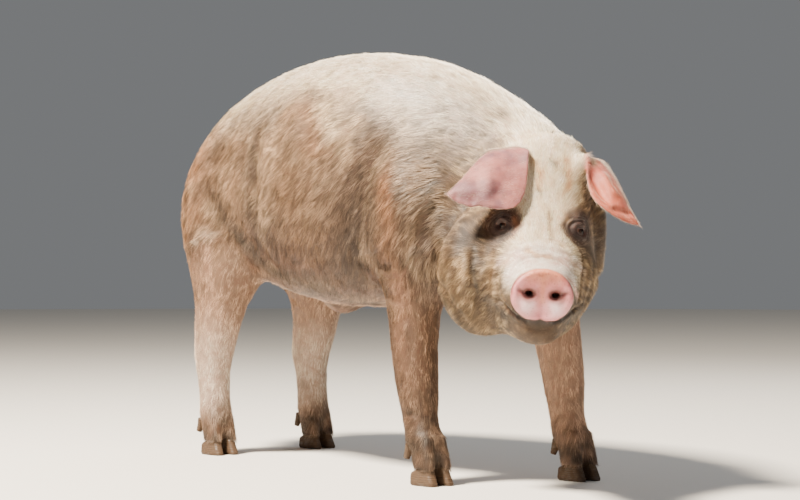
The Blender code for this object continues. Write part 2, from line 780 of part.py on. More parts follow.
def make_ear(side, head, parts, cutters):
    """One ear, a cupped leaf that leaves the head as an open tube and flops outwards."""
    name = "ear_left" if side > 0 else "ear_right"
    bm = bmesh.new()
    bmesh.ops.create_grid(bm, x_segments=EAR_COLUMNS, y_segments=EAR_ROWS, size=0.5)
    bm.verts.ensure_lookup_table()
    verts = sorted(bm.verts, key=lambda vert: (round(vert.co.y, 5), round(vert.co.x, 5)))
    for vert, point in zip(verts, ear_grid(side, EAR_ROWS, EAR_COLUMNS)):
        vert.co = point
    bm.transform(head_frame())
    leaf = new_object(name, bm, parts)
    wall = leaf.modifiers.new("wall", "SOLIDIFY")
    wall.thickness = EAR_THICKNESS
    wall.offset = 0.0
    wall.thickness_clamp = 1.0
    apply_modifiers(leaf)
    clearance = swollen_copy(head, GAP * 1.5, cutters)
    combine(leaf, clearance, "DIFFERENCE")
    return leaf


def make_claw(name, foot, side, parts):
    """One main claw: a flat sole, a sloping front wall and a rounded toe."""
    bm = bmesh.new()
    bmesh.ops.create_cube(bm, size=1.0)
    bmesh.ops.subdivide_edges(bm, edges=bm.edges, cuts=2, use_grid_fill=True)
    for vert in bm.verts:
        forward = vert.co.x + 0.5
        up = vert.co.z + 0.5
        narrow = (1.0 - 0.50 * forward ** 2.2) * (1.0 - 0.12 * up)
        vert.co = Vector((
            CLAW_LENGTH * (forward - 0.5) - 0.020 * up * forward,
            vert.co.y * CLAW_WIDTH * narrow - side * 0.004 * forward ** 2,
            CLAW_HEIGHT * up * (0.62 + 0.38 * forward),
        ))
    bm.normal_update()
    rounded = [edge for edge in bm.edges if edge.calc_face_angle(0.0) > math.radians(50)]
    bmesh.ops.bevel(
        bm, geom=rounded, offset=0.0035, segments=1, profile=0.5, affect="EDGES", material=-1)
    bm.transform(
        Matrix.Translation(foot + Vector((0.010, side * CLAW_SPREAD, 0)))
        @ Matrix.Rotation(side * CLAW_SPLAY, 4, "Z"))
    return new_object(name, bm, parts)


def make_dewclaw(name, foot, side, leg, parts, cutters):
    """One dewclaw: a short blunt cone that hangs behind the pastern, clear of the floor."""
    bm = bmesh.new()
    bmesh.ops.create_cone(
        bm, cap_ends=True, segments=10, radius1=DEWCLAW_TIP_RADIUS, radius2=DEWCLAW_RADIUS,
        depth=DEWCLAW_LENGTH)
    hang = Matrix.Rotation(DEWCLAW_HANG, 4, "Y") @ Matrix.Rotation(side * 0.15, 4, "X")
    spot = foot + Vector((DEWCLAW_BACK, side * DEWCLAW_SPREAD, DEWCLAW_HEIGHT))
    bm.transform(Matrix.Translation(spot) @ hang)
    cone = new_object(name, bm, parts)
    clearance = swollen_copy(leg, GAP * 1.5, cutters)
    combine(cone, clearance, "DIFFERENCE")
    return cone


def shoe_leg(leg, foot, outside, parts, cutters):
    """Give a leg its two claws and two dewclaws, and cut its toes clear of the claws."""
    for label, side in (("outer", outside), ("inner", -outside)):
        claw = make_claw(leg.name.replace("leg", "claw") + "_" + label, foot, side, parts)
        combine(leg, swollen_copy(claw, GAP * 1.5, cutters), "DIFFERENCE")
    for label, side in (("outer", outside), ("inner", -outside)):
        name = leg.name.replace("leg", "dewclaw") + "_" + label
        make_dewclaw(name, foot, side, leg, parts, cutters)


def make_tail(torso, parts, cutters):
    """The tail, a tapered rope of flesh in one loose curl, set on the rump."""
    curve = bpy.data.curves.new("tail", "CURVE")
    curve.dimensions = "3D"
    curve.bevel_depth = 1.0
    curve.bevel_resolution = 2
    curve.use_fill_caps = True
    spline = curve.splines.new("POLY")
    spline.points.add(TAIL_POINTS - 1)
    for step, spot in enumerate(spline.points):
        part = step / (TAIL_POINTS - 1)
        spot.co = (*tail_point(part), 1.0)
        spot.radius = TAIL_ROOT_RADIUS + (TAIL_TIP_RADIUS - TAIL_ROOT_RADIUS) * part ** 0.7
    tail = mesh_from_curve(curve, "tail", parts)
    clearance = swollen_copy(torso, GAP * 1.5, cutters)
    combine(tail, clearance, "DIFFERENCE")
    return tail


def tail_point(part):
    """A point on the tail's line: back off the rump, over, and down in a loose corkscrew."""
    if part < TAIL_CURL_START:
        bend = math.pi / 2 * part / TAIL_CURL_START
        return TAIL_ROOT + Vector((
            -TAIL_REACH * math.sin(bend), 0.0, -TAIL_DROP * (1 - math.cos(bend))))
    share = (part - TAIL_CURL_START) / (1 - TAIL_CURL_START)
    turn = TAIL_CURL_TURN * share
    opened = math.sin(math.pi / 2 * min(share / TAIL_CURL_OPENING, 1.0))
    radius = (TAIL_CURL_RADIUS - TAIL_CURL_TIGHTENING * share) * opened
    return TAIL_ROOT + Vector((
        -TAIL_REACH + radius * math.cos(turn),
        radius * math.sin(turn),
        -TAIL_DROP - TAIL_CURL_FALL * share,
    ))


def finish(name, colour, roughness, parts):
    """Give every object whose name starts with the name its own material."""
    for thing in parts.objects:
        if not thing.name.startswith(name):
            continue
        material = bpy.data.materials.new(thing.name)
        material.use_nodes = True
        shader = material.node_tree.nodes["Principled BSDF"]
        shader.inputs["Base Color"].default_value = (*colour, 1.0)
        shader.inputs["Roughness"].default_value = roughness
        shader.inputs["Metallic"].default_value = 0.0
        thing.data.materials.clear()
        thing.data.materials.append(material)


def part_legs(whole, parts, cutters):
    """Part the four legs off by boxes whose tops rise outwards from groin and armpit."""
    legs = []
    for name, foot, side, sections in feet():
        fore = name.startswith("fore")
        rear, front = FORE_LEG_REGION if fore else HIND_LEG_REGION
        crease = ARMPIT_HEIGHT if fore else GROIN_HEIGHT
        near, far = sorted((side * LEG_REGION_INNER, side * LEG_REGION_OUTER))
        region = box_cutter(
            name + "_region", (foot.x + rear, near, -0.2), (foot.x + front, far, crease),
            Matrix.Identity(4), (0, 0, 0), cutters, LEG_REGION_RISE)
        legs.append(part_off(whole, name, region, parts, cutters))
    return legs


def part_head(whole, parts, cutters):
    """Part the head off behind its poll and cheeks, square to its own length."""
    turn = Matrix.Rotation(HEAD_YAW, 4, "Z")
    low = EYE_LINE + Vector((HEAD_CUT, -0.5, -0.5))
    high = EYE_LINE + Vector((0.5, 0.5, 0.5))
    region = box_cutter("head_region", low, high, turn, EYE_LINE, cutters)
    return part_off(whole, "head", region, parts, cutters)


def part_neck(whole, parts, cutters):
    """Part the neck off along a slope from the withers to the breast."""
    pivot = Vector((NECK_CUT, 0, 0.55))
    low = Vector((NECK_CUT, -0.5, -0.3))
    high = Vector((NECK_CUT + 0.6, 0.5, 1.3))
    slope = Matrix.Rotation(NECK_CUT_SLOPE, 4, "Y")
    region = box_cutter("neck_region", low, high, slope, pivot, cutters)
    return part_off(whole, "neck", region, parts, cutters)


def add_teats(torso, cutters):
    """Set two rows of small teats on the belly."""
    bm = bmesh.new()
    bm.from_mesh(torso.data)
    tree = BVHTree.FromBMesh(bm)
    bm.free()
    for side in (-1, 1):
        for step in range(TEATS_PER_ROW):
            along = TEAT_REAR + (TEAT_FRONT - TEAT_REAR) * step / (TEATS_PER_ROW - 1)
            below = Vector((along, side * TEAT_ROW_HALF_SPREAD, 0.0))
            spot = tree.ray_cast(below, Vector((0, 0, 1)))[0]
            teat = ellipsoid(
                "teat", spot, (TEAT_RADIUS, TEAT_RADIUS, TEAT_LENGTH), cutters, sides=7)
            combine(torso, teat, "UNION")


def stand_at_origin(parts):
    """Move everything so that the origin is under the middle of the pig, on the floor."""
    corners = [vert.co for thing in parts.objects for vert in thing.data.vertices]
    lows = [min(corner[axis] for corner in corners) for axis in range(3)]
    highs = [max(corner[axis] for corner in corners) for axis in range(3)]
    shift = Vector((-(lows[0] + highs[0]) / 2, -(lows[1] + highs[1]) / 2, -lows[2]))
    for thing in parts.objects:
        thing.data.transform(Matrix.Translation(shift))


def main():
    """Build the pig whole, part it, and add what is set on it."""
    clear_scene()
    parts = new_collection(PARTS_NAME)
    cutters = new_collection(CUTTERS_NAME, hidden=True)
    torso = flesh(cutters)
    torso.name = "torso"
    parts.objects.link(torso)
    cutters.objects.unlink(torso)
    head = part_head(torso, parts, cutters)
    legs = part_legs(torso, parts, cutters)
    neck = part_neck(torso, parts, cutters)
    add_teats(torso, cutters)
    for side in (-1, 1):
        make_eye(side, head, parts, cutters)
    add_disc(head, cutters)
    cut_nostrils(head, cutters)
    cut_mouth(head, cutters)
    for side in (-1, 1):
        ear = make_ear(side, head, parts, cutters)
        combine(ear, swollen_copy(neck, GAP * 1.5, cutters), "DIFFERENCE")
    for leg, (name, foot, side, sections) in zip(legs, feet()):
        shoe_leg(leg, foot, side, parts, cutters)
    make_tail(torso, parts, cutters)
    stand_at_origin(parts)
    for start, (colour, roughness) in FINISHES.items():
        finish(start, colour, roughness, parts)
    for thing in list(cutters.objects):
        bpy.data.objects.remove(thing, do_unlink=True)


main()
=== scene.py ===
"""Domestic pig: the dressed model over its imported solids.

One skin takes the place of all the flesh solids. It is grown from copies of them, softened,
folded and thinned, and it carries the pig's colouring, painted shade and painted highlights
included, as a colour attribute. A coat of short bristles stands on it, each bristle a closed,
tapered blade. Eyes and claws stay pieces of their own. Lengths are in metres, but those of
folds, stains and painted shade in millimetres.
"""
import logging
import math
from dataclasses import dataclass, field
from enum import Enum

import bmesh
import bpy
import numpy as np
from mathutils import Matrix, Vector
from mathutils.bvhtree import BVHTree


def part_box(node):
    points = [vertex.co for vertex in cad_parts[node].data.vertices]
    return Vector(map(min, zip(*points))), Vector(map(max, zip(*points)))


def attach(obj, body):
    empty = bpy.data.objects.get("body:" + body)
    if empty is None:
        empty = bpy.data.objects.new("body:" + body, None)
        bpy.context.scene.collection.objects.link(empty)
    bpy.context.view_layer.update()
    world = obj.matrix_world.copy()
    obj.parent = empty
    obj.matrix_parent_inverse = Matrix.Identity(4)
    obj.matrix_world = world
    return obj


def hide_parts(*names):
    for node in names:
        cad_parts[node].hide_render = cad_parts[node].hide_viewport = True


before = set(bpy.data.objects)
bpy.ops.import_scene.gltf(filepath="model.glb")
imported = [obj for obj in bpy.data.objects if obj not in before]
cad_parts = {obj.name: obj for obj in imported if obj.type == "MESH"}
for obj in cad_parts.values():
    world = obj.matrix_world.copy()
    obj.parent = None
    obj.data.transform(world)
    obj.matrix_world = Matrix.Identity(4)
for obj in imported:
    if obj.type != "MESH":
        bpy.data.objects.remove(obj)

LOG = logging.getLogger("pig")
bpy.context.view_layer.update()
MM = 0.001
NOISE_KEYS = (73856093, 19349663, 83492791)
NOISE_STEP = 7919
NOISE_TWIST = 1274126177
FLESH = (
    "head", "neck", "torso", "tail", "ear_left", "ear_right",
    "foreleg_left", "foreleg_right", "hindleg_left", "hindleg_right",
)


class Region(Enum):
    """Parts of the skin that differ in how their hair lies."""

    BODY = 0
    NECK = 1
    HEAD = 2
    EAR_RIGHT = 3
    EAR_LEFT = 4
    FORELEG = 5
    HINDLEG = 6
    TAIL = 7


TRUNK = (Region.BODY, Region.NECK)
EARS = (Region.EAR_RIGHT, Region.EAR_LEFT)
LEGS = (Region.FORELEG, Region.HINDLEG)


def region_of(node: str) -> Region:
    """The region that a flesh solid belongs to.

    Args:
        node: The solid's name.

    Returns:
        Its region.
    """
    names = {
        "torso": Region.BODY, "neck": Region.NECK, "head": Region.HEAD, "tail": Region.TAIL,
        "ear_right": Region.EAR_RIGHT, "ear_left": Region.EAR_LEFT,
    }
    if node in names:
        return names[node]
    return Region.FORELEG if node.startswith("fore") else Region.HINDLEG


def linear(colour: str) -> tuple[float, float, float]:
    """Turn a hex sRGB colour linear.

    Args:
        colour: Six hex digits, with or without a leading mark.

    Returns:
        Red, green and blue, linear.
    """
    digits = colour.lstrip("#")
    values = [int(digits[step:step + 2], 16) / 255 for step in (0, 2, 4)]
    return tuple(v / 12.92 if v <= 0.04045 else ((v + 0.055) / 1.055) ** 2.4 for v in values)


def add_node(tree: bpy.types.NodeTree, kind: str, settings: dict | None = None,
             links: dict | None = None) -> bpy.types.Node:
    """Add a node with its settings and links.

    Args:
        tree: The node tree.
        kind: The node's type name.
        settings: Properties by name, or input values by socket name or index.
        links: Output sockets by the input, name or index, that they go to.

    Returns:
        The node.
    """
    node = tree.nodes.new(kind)
    for name, value in (settings or {}).items():
        if isinstance(name, str) and hasattr(node, name):
            setattr(node, name, value)
        else:
            node.inputs[name].default_value = value
    for name, socket in (links or {}).items():
        tree.links.new(socket, node.inputs[name])
    return node


def new_finish(name: str, settings: dict | None = None) -> tuple[
        bpy.types.Material, bpy.types.NodeTree, bpy.types.Node]:
    """Make a node material.

    Args:
        name: The material's name.
        settings: Values of its shader's inputs, by name.

    Returns:
        The material, its node tree and its Principled shader.
    """
    material = bpy.data.materials.new(name)
    material.use_nodes = True
    shader = material.node_tree.nodes["Principled BSDF"]
    for socket, value in (settings or {}).items():
        shader.inputs[socket].default_value = value
    return material, material.node_tree, shader


def placed(name: str, data: bpy.types.ID) -> bpy.types.Object:
    """A new object of some data, linked to the scene."""
    thing = bpy.data.objects.new(name, data)
    bpy.context.scene.collection.objects.link(thing)
    return thing


def read_rows(items: bpy.types.bpy_prop_collection, name: str, width: int,
              kind: type = float) -> np.ndarray:
    """Read one property of many items as rows of numbers.

    Args:
        items: The items, such as a mesh's vertices.
        name: The property's name.
        width: How many numbers it has.
        kind: Their type.

    Returns:
        One row for each item.
    """
    rows = np.zeros(len(items) * width, dtype=kind)
    items.foreach_get(name, rows)
    return rows.reshape(-1, width)


def shade(mesh: bpy.types.Mesh, smooth: bool) -> None:
    """Shade all faces of a mesh smooth or flat."""
    mesh.polygons.foreach_set("use_smooth", np.full(len(mesh.polygons), smooth))


def among(kinds: np.ndarray, regions: tuple[Region, ...]) -> np.ndarray:
    """Which rows belong to one of the regions."""
    return np.isin(kinds, [region.value for region in regions])


def smooth_step(low: float, high: float, value: np.ndarray) -> np.ndarray:
    """Rise smoothly from 0 at low to 1 at high, for each value."""
    share = np.clip((value - low) / (high - low), 0.0, 1.0)
    return share * share * (3 - 2 * share)


def soft_noise(points: np.ndarray, size: float, seed: int) -> np.ndarray:
    """Smooth noise between -1 and 1 at points in space.

    Args:
        points: Rows of three coordinates.
        size: The width of one lump.
        seed: Picks the pattern.

    Returns:
        One value for each point.
    """
    grid = points / size
    cell = np.floor(grid).astype(np.int64)
    part = grid - cell
    part = part * part * (3 - 2 * part)
    total = np.zeros(len(points))
    for corner in range(8):
        offset = np.array([(corner >> axis) & 1 for axis in range(3)])
        key = (cell + offset) @ np.array(NOISE_KEYS) + seed * NOISE_STEP
        key = ((key ^ (key >> 13)) * NOISE_TWIST) & 0x7FFFFFFF
        value = ((key >> 7) & 0xFFFF) / 32767.5 - 1
        total += value * np.prod(np.where(offset == 1, part, 1 - part), axis=1)
    return total


def unit(rows: np.ndarray) -> np.ndarray:
    """Rows of vectors brought to length one."""
    return rows / np.maximum(np.linalg.norm(rows, axis=1, keepdims=True), 1e-9)


def in_frame(points: np.ndarray, place: Matrix) -> np.ndarray:
    """Points of the row frame in the coordinates of a frame."""
    inverse = np.array(place.inverted())
    return points @ inverse[:3, :3].T + inverse[:3, 3]


def out_of_frame(vectors: np.ndarray, place: Matrix) -> np.ndarray:
    """Directions of a frame turned into the row frame."""
    return vectors @ np.array(place)[:3, :3].T


def new_piece(name: str, mesh: bpy.types.Mesh, material: bpy.types.Material) -> bpy.types.Object:
    """Link a finished mesh as a piece of the pig.

    Args:
        name: The piece's name.
        mesh: Its mesh, already in place.
        material: Its finish.

    Returns:
        The object.
    """
    thing = placed(name, mesh)
    mesh.materials.clear()
    mesh.materials.append(material)
    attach(thing, "root")
    LOG.info("%s: %d faces", name, len(mesh.polygons))
    return thing


def applied(thing: bpy.types.Object) -> bpy.types.Mesh:
    """The evaluated mesh of an object, which is then removed with its modifiers."""
    graph = bpy.context.evaluated_depsgraph_get()
    mesh = bpy.data.meshes.new_from_object(thing.evaluated_get(graph))
    bpy.data.objects.remove(thing, do_unlink=True)
    return mesh


def merged_copy(node: str, swell: float = 0.0) -> bmesh.types.BMesh:
    """A copy of a solid's mesh with its doubles merged.

    Args:
        node: The solid's name.
        swell: How far its surface moves outwards.

    Returns:
        The copy, as an open bmesh.
    """
    bm = bmesh.new()
    bm.from_mesh(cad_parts[node].data)
    bmesh.ops.remove_doubles(bm, verts=bm.verts, dist=2e-5)
    bm.normal_update()
    shifts = [vert.normal * swell for vert in bm.verts]
    for vert, shift in zip(bm.verts, shifts):
        vert.co += shift
    return bm


@dataclass(frozen=True)
class Landmarks:
    """Places that the source also names: head, disc, eyes and the photograph's view."""

    eye_line: tuple = (0.6690, -0.090, 0.484)
    head_yaw: float = math.radians(-36.0)
    head_lean: float = math.radians(4.5)
    disc_centre: tuple = (0.170, 0.0, -0.121)
    disc_half: tuple = (0.0550, 0.0475)
    disc_tilt: float = math.radians(8.0)
    nostril_spread: float = 0.0222
    nostril_height: float = 0.003
    slit: tuple = ((0.026, 0.004), (0.041, 0.009))
    eye_spread: float = 0.0640
    eye_depth: float = -0.008
    eye_radius: float = 0.0120
    eye_outward: float = math.radians(50.0)
    view_azimuth: float = math.radians(55.0)
    view_distance: float = 4.5
    view_height: float = 0.43
    focal_pixels: float = 2160.0
    centre_pixel: tuple = (370.0, 258.0)
    photo_size: tuple = (800, 500)

    @property
    def shift(self) -> Vector:
        """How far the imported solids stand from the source's own origin."""
        low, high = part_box("eye_left")
        design = self.head_design() @ Vector((self.eye_depth, self.eye_spread, 0))
        middle = (Vector(low) + Vector(high)) / 2
        return Vector((middle.x - design.x, middle.y - design.y, 0.0))

    def head_design(self) -> Matrix:
        """The head's frame in the source's coordinates."""
        turn = Matrix.Rotation(self.head_yaw, 4, "Z")
        return (Matrix.Translation(self.eye_line) @ turn
                @ Matrix.Rotation(-self.head_lean, 4, "X"))

    def head(self) -> Matrix:
        """The head's frame: x forward, y to the pig's left and z up, from between the eyes."""
        return Matrix.Translation(self.shift) @ self.head_design()

    def disc(self) -> Matrix:
        """The snout disc's frame, whose x is square to its face."""
        return (self.head() @ Matrix.Translation(self.disc_centre)
                @ Matrix.Rotation(self.disc_tilt, 4, "Y"))

    def eye(self, side: int) -> Matrix:
        """The frame of one eye, whose x looks out of the opening.

        Args:
            side: 1 for the left eye and -1 for the right.

        Returns:
            The frame.
        """
        centre = Vector((self.eye_depth, side * self.eye_spread, 0.0))
        return (self.head() @ Matrix.Translation(centre)
                @ Matrix.Rotation(side * self.eye_outward, 4, "Z"))

    def towards(self) -> Vector:
        """The level direction from the pig to the photograph's camera."""
        return Vector((math.sin(self.view_azimuth), -math.cos(self.view_azimuth), 0))

    def camera_place(self) -> Vector:
        """Where the photograph's camera stands."""
        place = self.towards() * self.view_distance + self.shift
        return Vector((place.x, place.y, self.view_height))

    def ray(self, pixel: tuple[float, float]) -> Vector:
        """The direction in which the camera sees a pixel of the 800 by 500 photograph."""
        right = Vector((math.cos(self.view_azimuth), math.sin(self.view_azimuth), 0))
        across = (pixel[0] - self.centre_pixel[0]) / self.focal_pixels
        down = (pixel[1] - self.centre_pixel[1]) / self.focal_pixels
        return (right * across - Vector((0, 0, down)) - self.towards()).normalized()


@dataclass(frozen=True)
class Fold:
    """A crease of the hide, drawn over the photograph and pressed into the skin.

    Its line is in pixels, its depth and width are in millimetres, and a negative depth raises
    a ridge. The bank is the raised skin beside it, as a share of the depth. A twin is a second
    one on the pig's other side.
    """

    pixels: tuple
    depth: float
    width: float
    bank: float = 0.4
    twin: bool = True


@dataclass(frozen=True)
class Tint:
    """A soft stain of the hide or a patch of painted shade, drawn over the photograph, with a twin
    like a fold's.

    Its line is in pixels and its width in millimetres; the share is how much it covers.
    """

    pixels: tuple
    width: float
    colour: str
    share: float
    twin: bool = True


BODY_FOLDS = (
    Fold(((262, 118), (256, 150), (253, 185), (254, 212)), 13.0, 15.0, 0.35),
    Fold(((222, 205), (232, 218), (243, 231), (252, 245), (258, 264)), 12.0, 16.0, 0.3),
    Fold(((251, 216), (256, 238), (266, 258), (282, 278)), 8.0, 15.0, 0.3),
    Fold(((302, 92), (307, 108), (314, 126), (318, 150)), 8.0, 40.0, 0.1),
    Fold(((387, 122), (375, 150), (364, 178), (356, 206), (349, 235), (338, 266)),
         15.0, 30.0, 0.2),
    Fold(((352, 236), (356, 262), (366, 288)), 11.0, 20.0, 0.3),
    Fold(((404, 236), (410, 252), (420, 262)), 5.0, 12.0, 0.3),
    Fold(((372, 262), (384, 270), (398, 268), (412, 262)), 6.5, 11.0, 0.3),
    Fold(((436, 100), (424, 140), (418, 180), (424, 220)), 5.0, 38.0, 0.1),
    Fold(((436, 196), (430, 214), (428, 232), (431, 250)), 9.0, 15.0, 0.3),
    Fold(((384, 296), (394, 300), (408, 298)), 3.0, 8.0, 0.3),
    Fold(((386, 312), (398, 317), (412, 314)), 3.0, 8.0, 0.3),
    Fold(((392, 412), (404, 416), (418, 412)), 3.0, 7.0, 0.4),
    Fold(((202, 372), (212, 377), (224, 372)), 3.0, 8.0, 0.4),
)

HEAD_FOLDS = (
    Fold(((433, 236), (436, 262), (444, 290), (458, 314), (476, 330)), 6.0, 10.0, 0.4),
    Fold(((474, 240), (473, 262), (475, 284), (484, 306)), 5.0, 9.0, 0.5),
    Fold(((455, 262), (454, 284), (462, 306)), 3.0, 9.0, 0.4),
    Fold(((503, 258), (497, 276), (498, 296), (506, 314)), 4.5, 7.5, 0.5),
    Fold(((509, 277), (514, 266), (524, 259), (544, 257), (560, 261), (571, 271), (580, 279)),
         4.0, 5.0, 0.8, twin=False),
    Fold(((502, 270), (511, 257), (526, 250), (546, 249), (563, 254), (577, 264)),
         3.0, 5.0, 0.7, twin=False),
    Fold(((506, 254), (517, 245), (530, 242)), 1.8, 5.0, 0.6, twin=False),
    Fold(((546, 240), (558, 243), (570, 250)), 1.6, 5.0, 0.5, twin=False),
    Fold(((574, 240), (580, 250), (583, 266), (581, 282)), 3.0, 6.0, 0.5, twin=False),
)

EAR_FOLDS = (
    Fold(((510, 152), (505, 170), (500, 188), (493, 208)), 3.4, 15.0, 0.0, twin=False),
    Fold(((478, 164), (476, 182), (480, 202)), 3.0, 14.0, 0.0, twin=False),
    Fold(((452, 194), (464, 198), (478, 204)), 4.0, 8.0, 0.1, twin=False),
    Fold(((518, 160), (520, 180), (514, 200)), -3.0, 13.0, 0.0, twin=False),
    Fold(((490, 160), (489, 182), (486, 200)), -2.6, 11.0, 0.0, twin=False),
    Fold(((589, 166), (595, 180), (602, 194), (611, 206)), 9.0, 9.0, 0.1, twin=False),
    Fold(((600, 168), (608, 184), (618, 200)), -5.0, 9.0, 0.0, twin=False),
    Fold(((610, 207), (622, 211), (634, 216)), 6.0, 7.0, 0.1, twin=False),
)

BODY_TINTS = (
    Tint(((230, 150), (232, 190), (236, 220)), 50.0, "A8825E", 0.30),
    Tint(((285, 190), (300, 215), (310, 240)), 75.0, "7A5838", 0.40),
    Tint(((306, 104), (312, 126), (320, 152)), 32.0, "866142", 0.60),
    Tint(((322, 108), (334, 118), (338, 130)), 20.0, "D9C2A2", 0.65),
    Tint(((290, 110), (284, 140), (280, 170)), 24.0, "A98460", 0.40),
    # Painted shade behind the shoulder and the elbow: the next three stains.
    Tint(((387, 127), (364, 169), (354, 203), (347, 241), (334, 272)), 28.0, "462C16", 0.70),
    Tint(((360, 192), (352, 215), (348, 240)), 22.0, "3C2614", 0.70),
    Tint(((362, 215), (352, 262), (366, 292)), 30.0, "382312", 0.70),
    Tint(((387, 176), (386, 215), (390, 258)), 18.0, "94603A", 0.58),
    Tint(((377, 205), (376, 235), (380, 268)), 10.0, "4E3622", 0.55),
    Tint(((415, 168), (412, 205), (418, 250)), 15.0, "6A4A2E", 0.55),
    # Painted shade in the crease before the ham.
    Tint(((262, 120), (256, 162), (252, 215)), 10.0, "342211", 0.70),
    Tint(((268, 150), (263, 185), (262, 215)), 8.0, "D0AE88", 0.55),
    # Painted shade in the lower flank's fold.
    Tint(((222, 205), (235, 228), (247, 243)), 12.0, "302014", 0.66),
    # Painted shade on the belly below the flank and along its bottom: the next two stains.
    Tint(((240, 232), (254, 256), (276, 273), (302, 281), (331, 284)), 24.0, "24170D", 0.66),
    Tint(((300, 290), (330, 296), (356, 302), (380, 300)), 16.0, "2E1C12", 0.60),
    Tint(((400, 84), (440, 105), (478, 130)), 60.0, "F8F0E6", 0.65),
    Tint(((300, 70), (360, 60), (420, 68)), 60.0, "F1E2CC", 0.50),
    # Painted shade in the crease and on the neck behind the cheek: the next two stains.
    Tint(((428, 196), (424, 225), (428, 255)), 17.0, "4E3826", 0.55),
    Tint(((434, 225), (433, 255), (438, 290), (446, 315)), 34.0, "452C18", 0.68),
    Tint(((400, 285), (402, 330), (408, 380)), 26.0, "96664A", 0.50),
    Tint(((414, 290), (417, 330), (420, 372)), 9.0, "46301F", 0.55),
    Tint(((388, 320), (394, 360), (398, 400)), 8.0, "503824", 0.50),
    Tint(((205, 250), (208, 290), (212, 330)), 34.0, "B58D72", 0.45),
)

HEAD_TINTS = (
    Tint(((440, 240), (446, 275), (462, 305), (480, 325)), 26.0, "6E5430", 0.50),
    Tint(((477, 246), (475, 268), (480, 292)), 9.0, "33240F", 0.60),
    Tint(((466, 250), (463, 275)), 8.0, "C4A473", 0.55),
    # Painted shadow of the right ear on the cheek and neck, with its twin.
    Tint(((440, 222), (452, 228), (468, 242)), 34.0, "38281E", 0.62),
    # The mouth corner: part dirt, part painted shade.
    Tint(((488, 300), (498, 308), (506, 316)), 15.0, "2A1C10", 0.70),
    # Painted shadow beside the snout, left of the disc, with its twin.
    Tint(((502, 286), (508, 300), (513, 316)), 9.0, "3A2816", 0.60),
    Tint(((535, 163), (540, 176), (538, 190)), 7.0, "CC9A66", 0.50, twin=False),
    Tint(((566, 160), (568, 176), (567, 190)), 7.0, "C68F5C", 0.50, twin=False),
    Tint(((550, 160), (556, 166)), 5.0, "6E6150", 0.55, twin=False),
    Tint(((538, 190), (541, 194)), 3.0, "6E5A48", 0.60, twin=False),
    Tint(((549, 214), (551, 238)), 5.5, "8F7558", 0.55, twin=False),
    Tint(((562, 212), (568, 222)), 4.0, "A5835E", 0.50, twin=False),
    Tint(((515, 218), (518, 230), (514, 238)), 6.0, "BF7C50", 0.28, twin=False),
    Tint(((526, 252), (537, 256), (549, 258)), 9.0, "D0A274", 0.55, twin=False),
    Tint(((508, 262), (516, 256), (530, 262)), 8.0, "E5B7A4", 0.50),
    Tint(((500, 262), (520, 250), (512, 274)), 8.0, "F3D9CF", 0.40),
    Tint(((553, 272), (570, 280), (577, 296)), 6.0, "D9A89A", 0.55, twin=False),
)


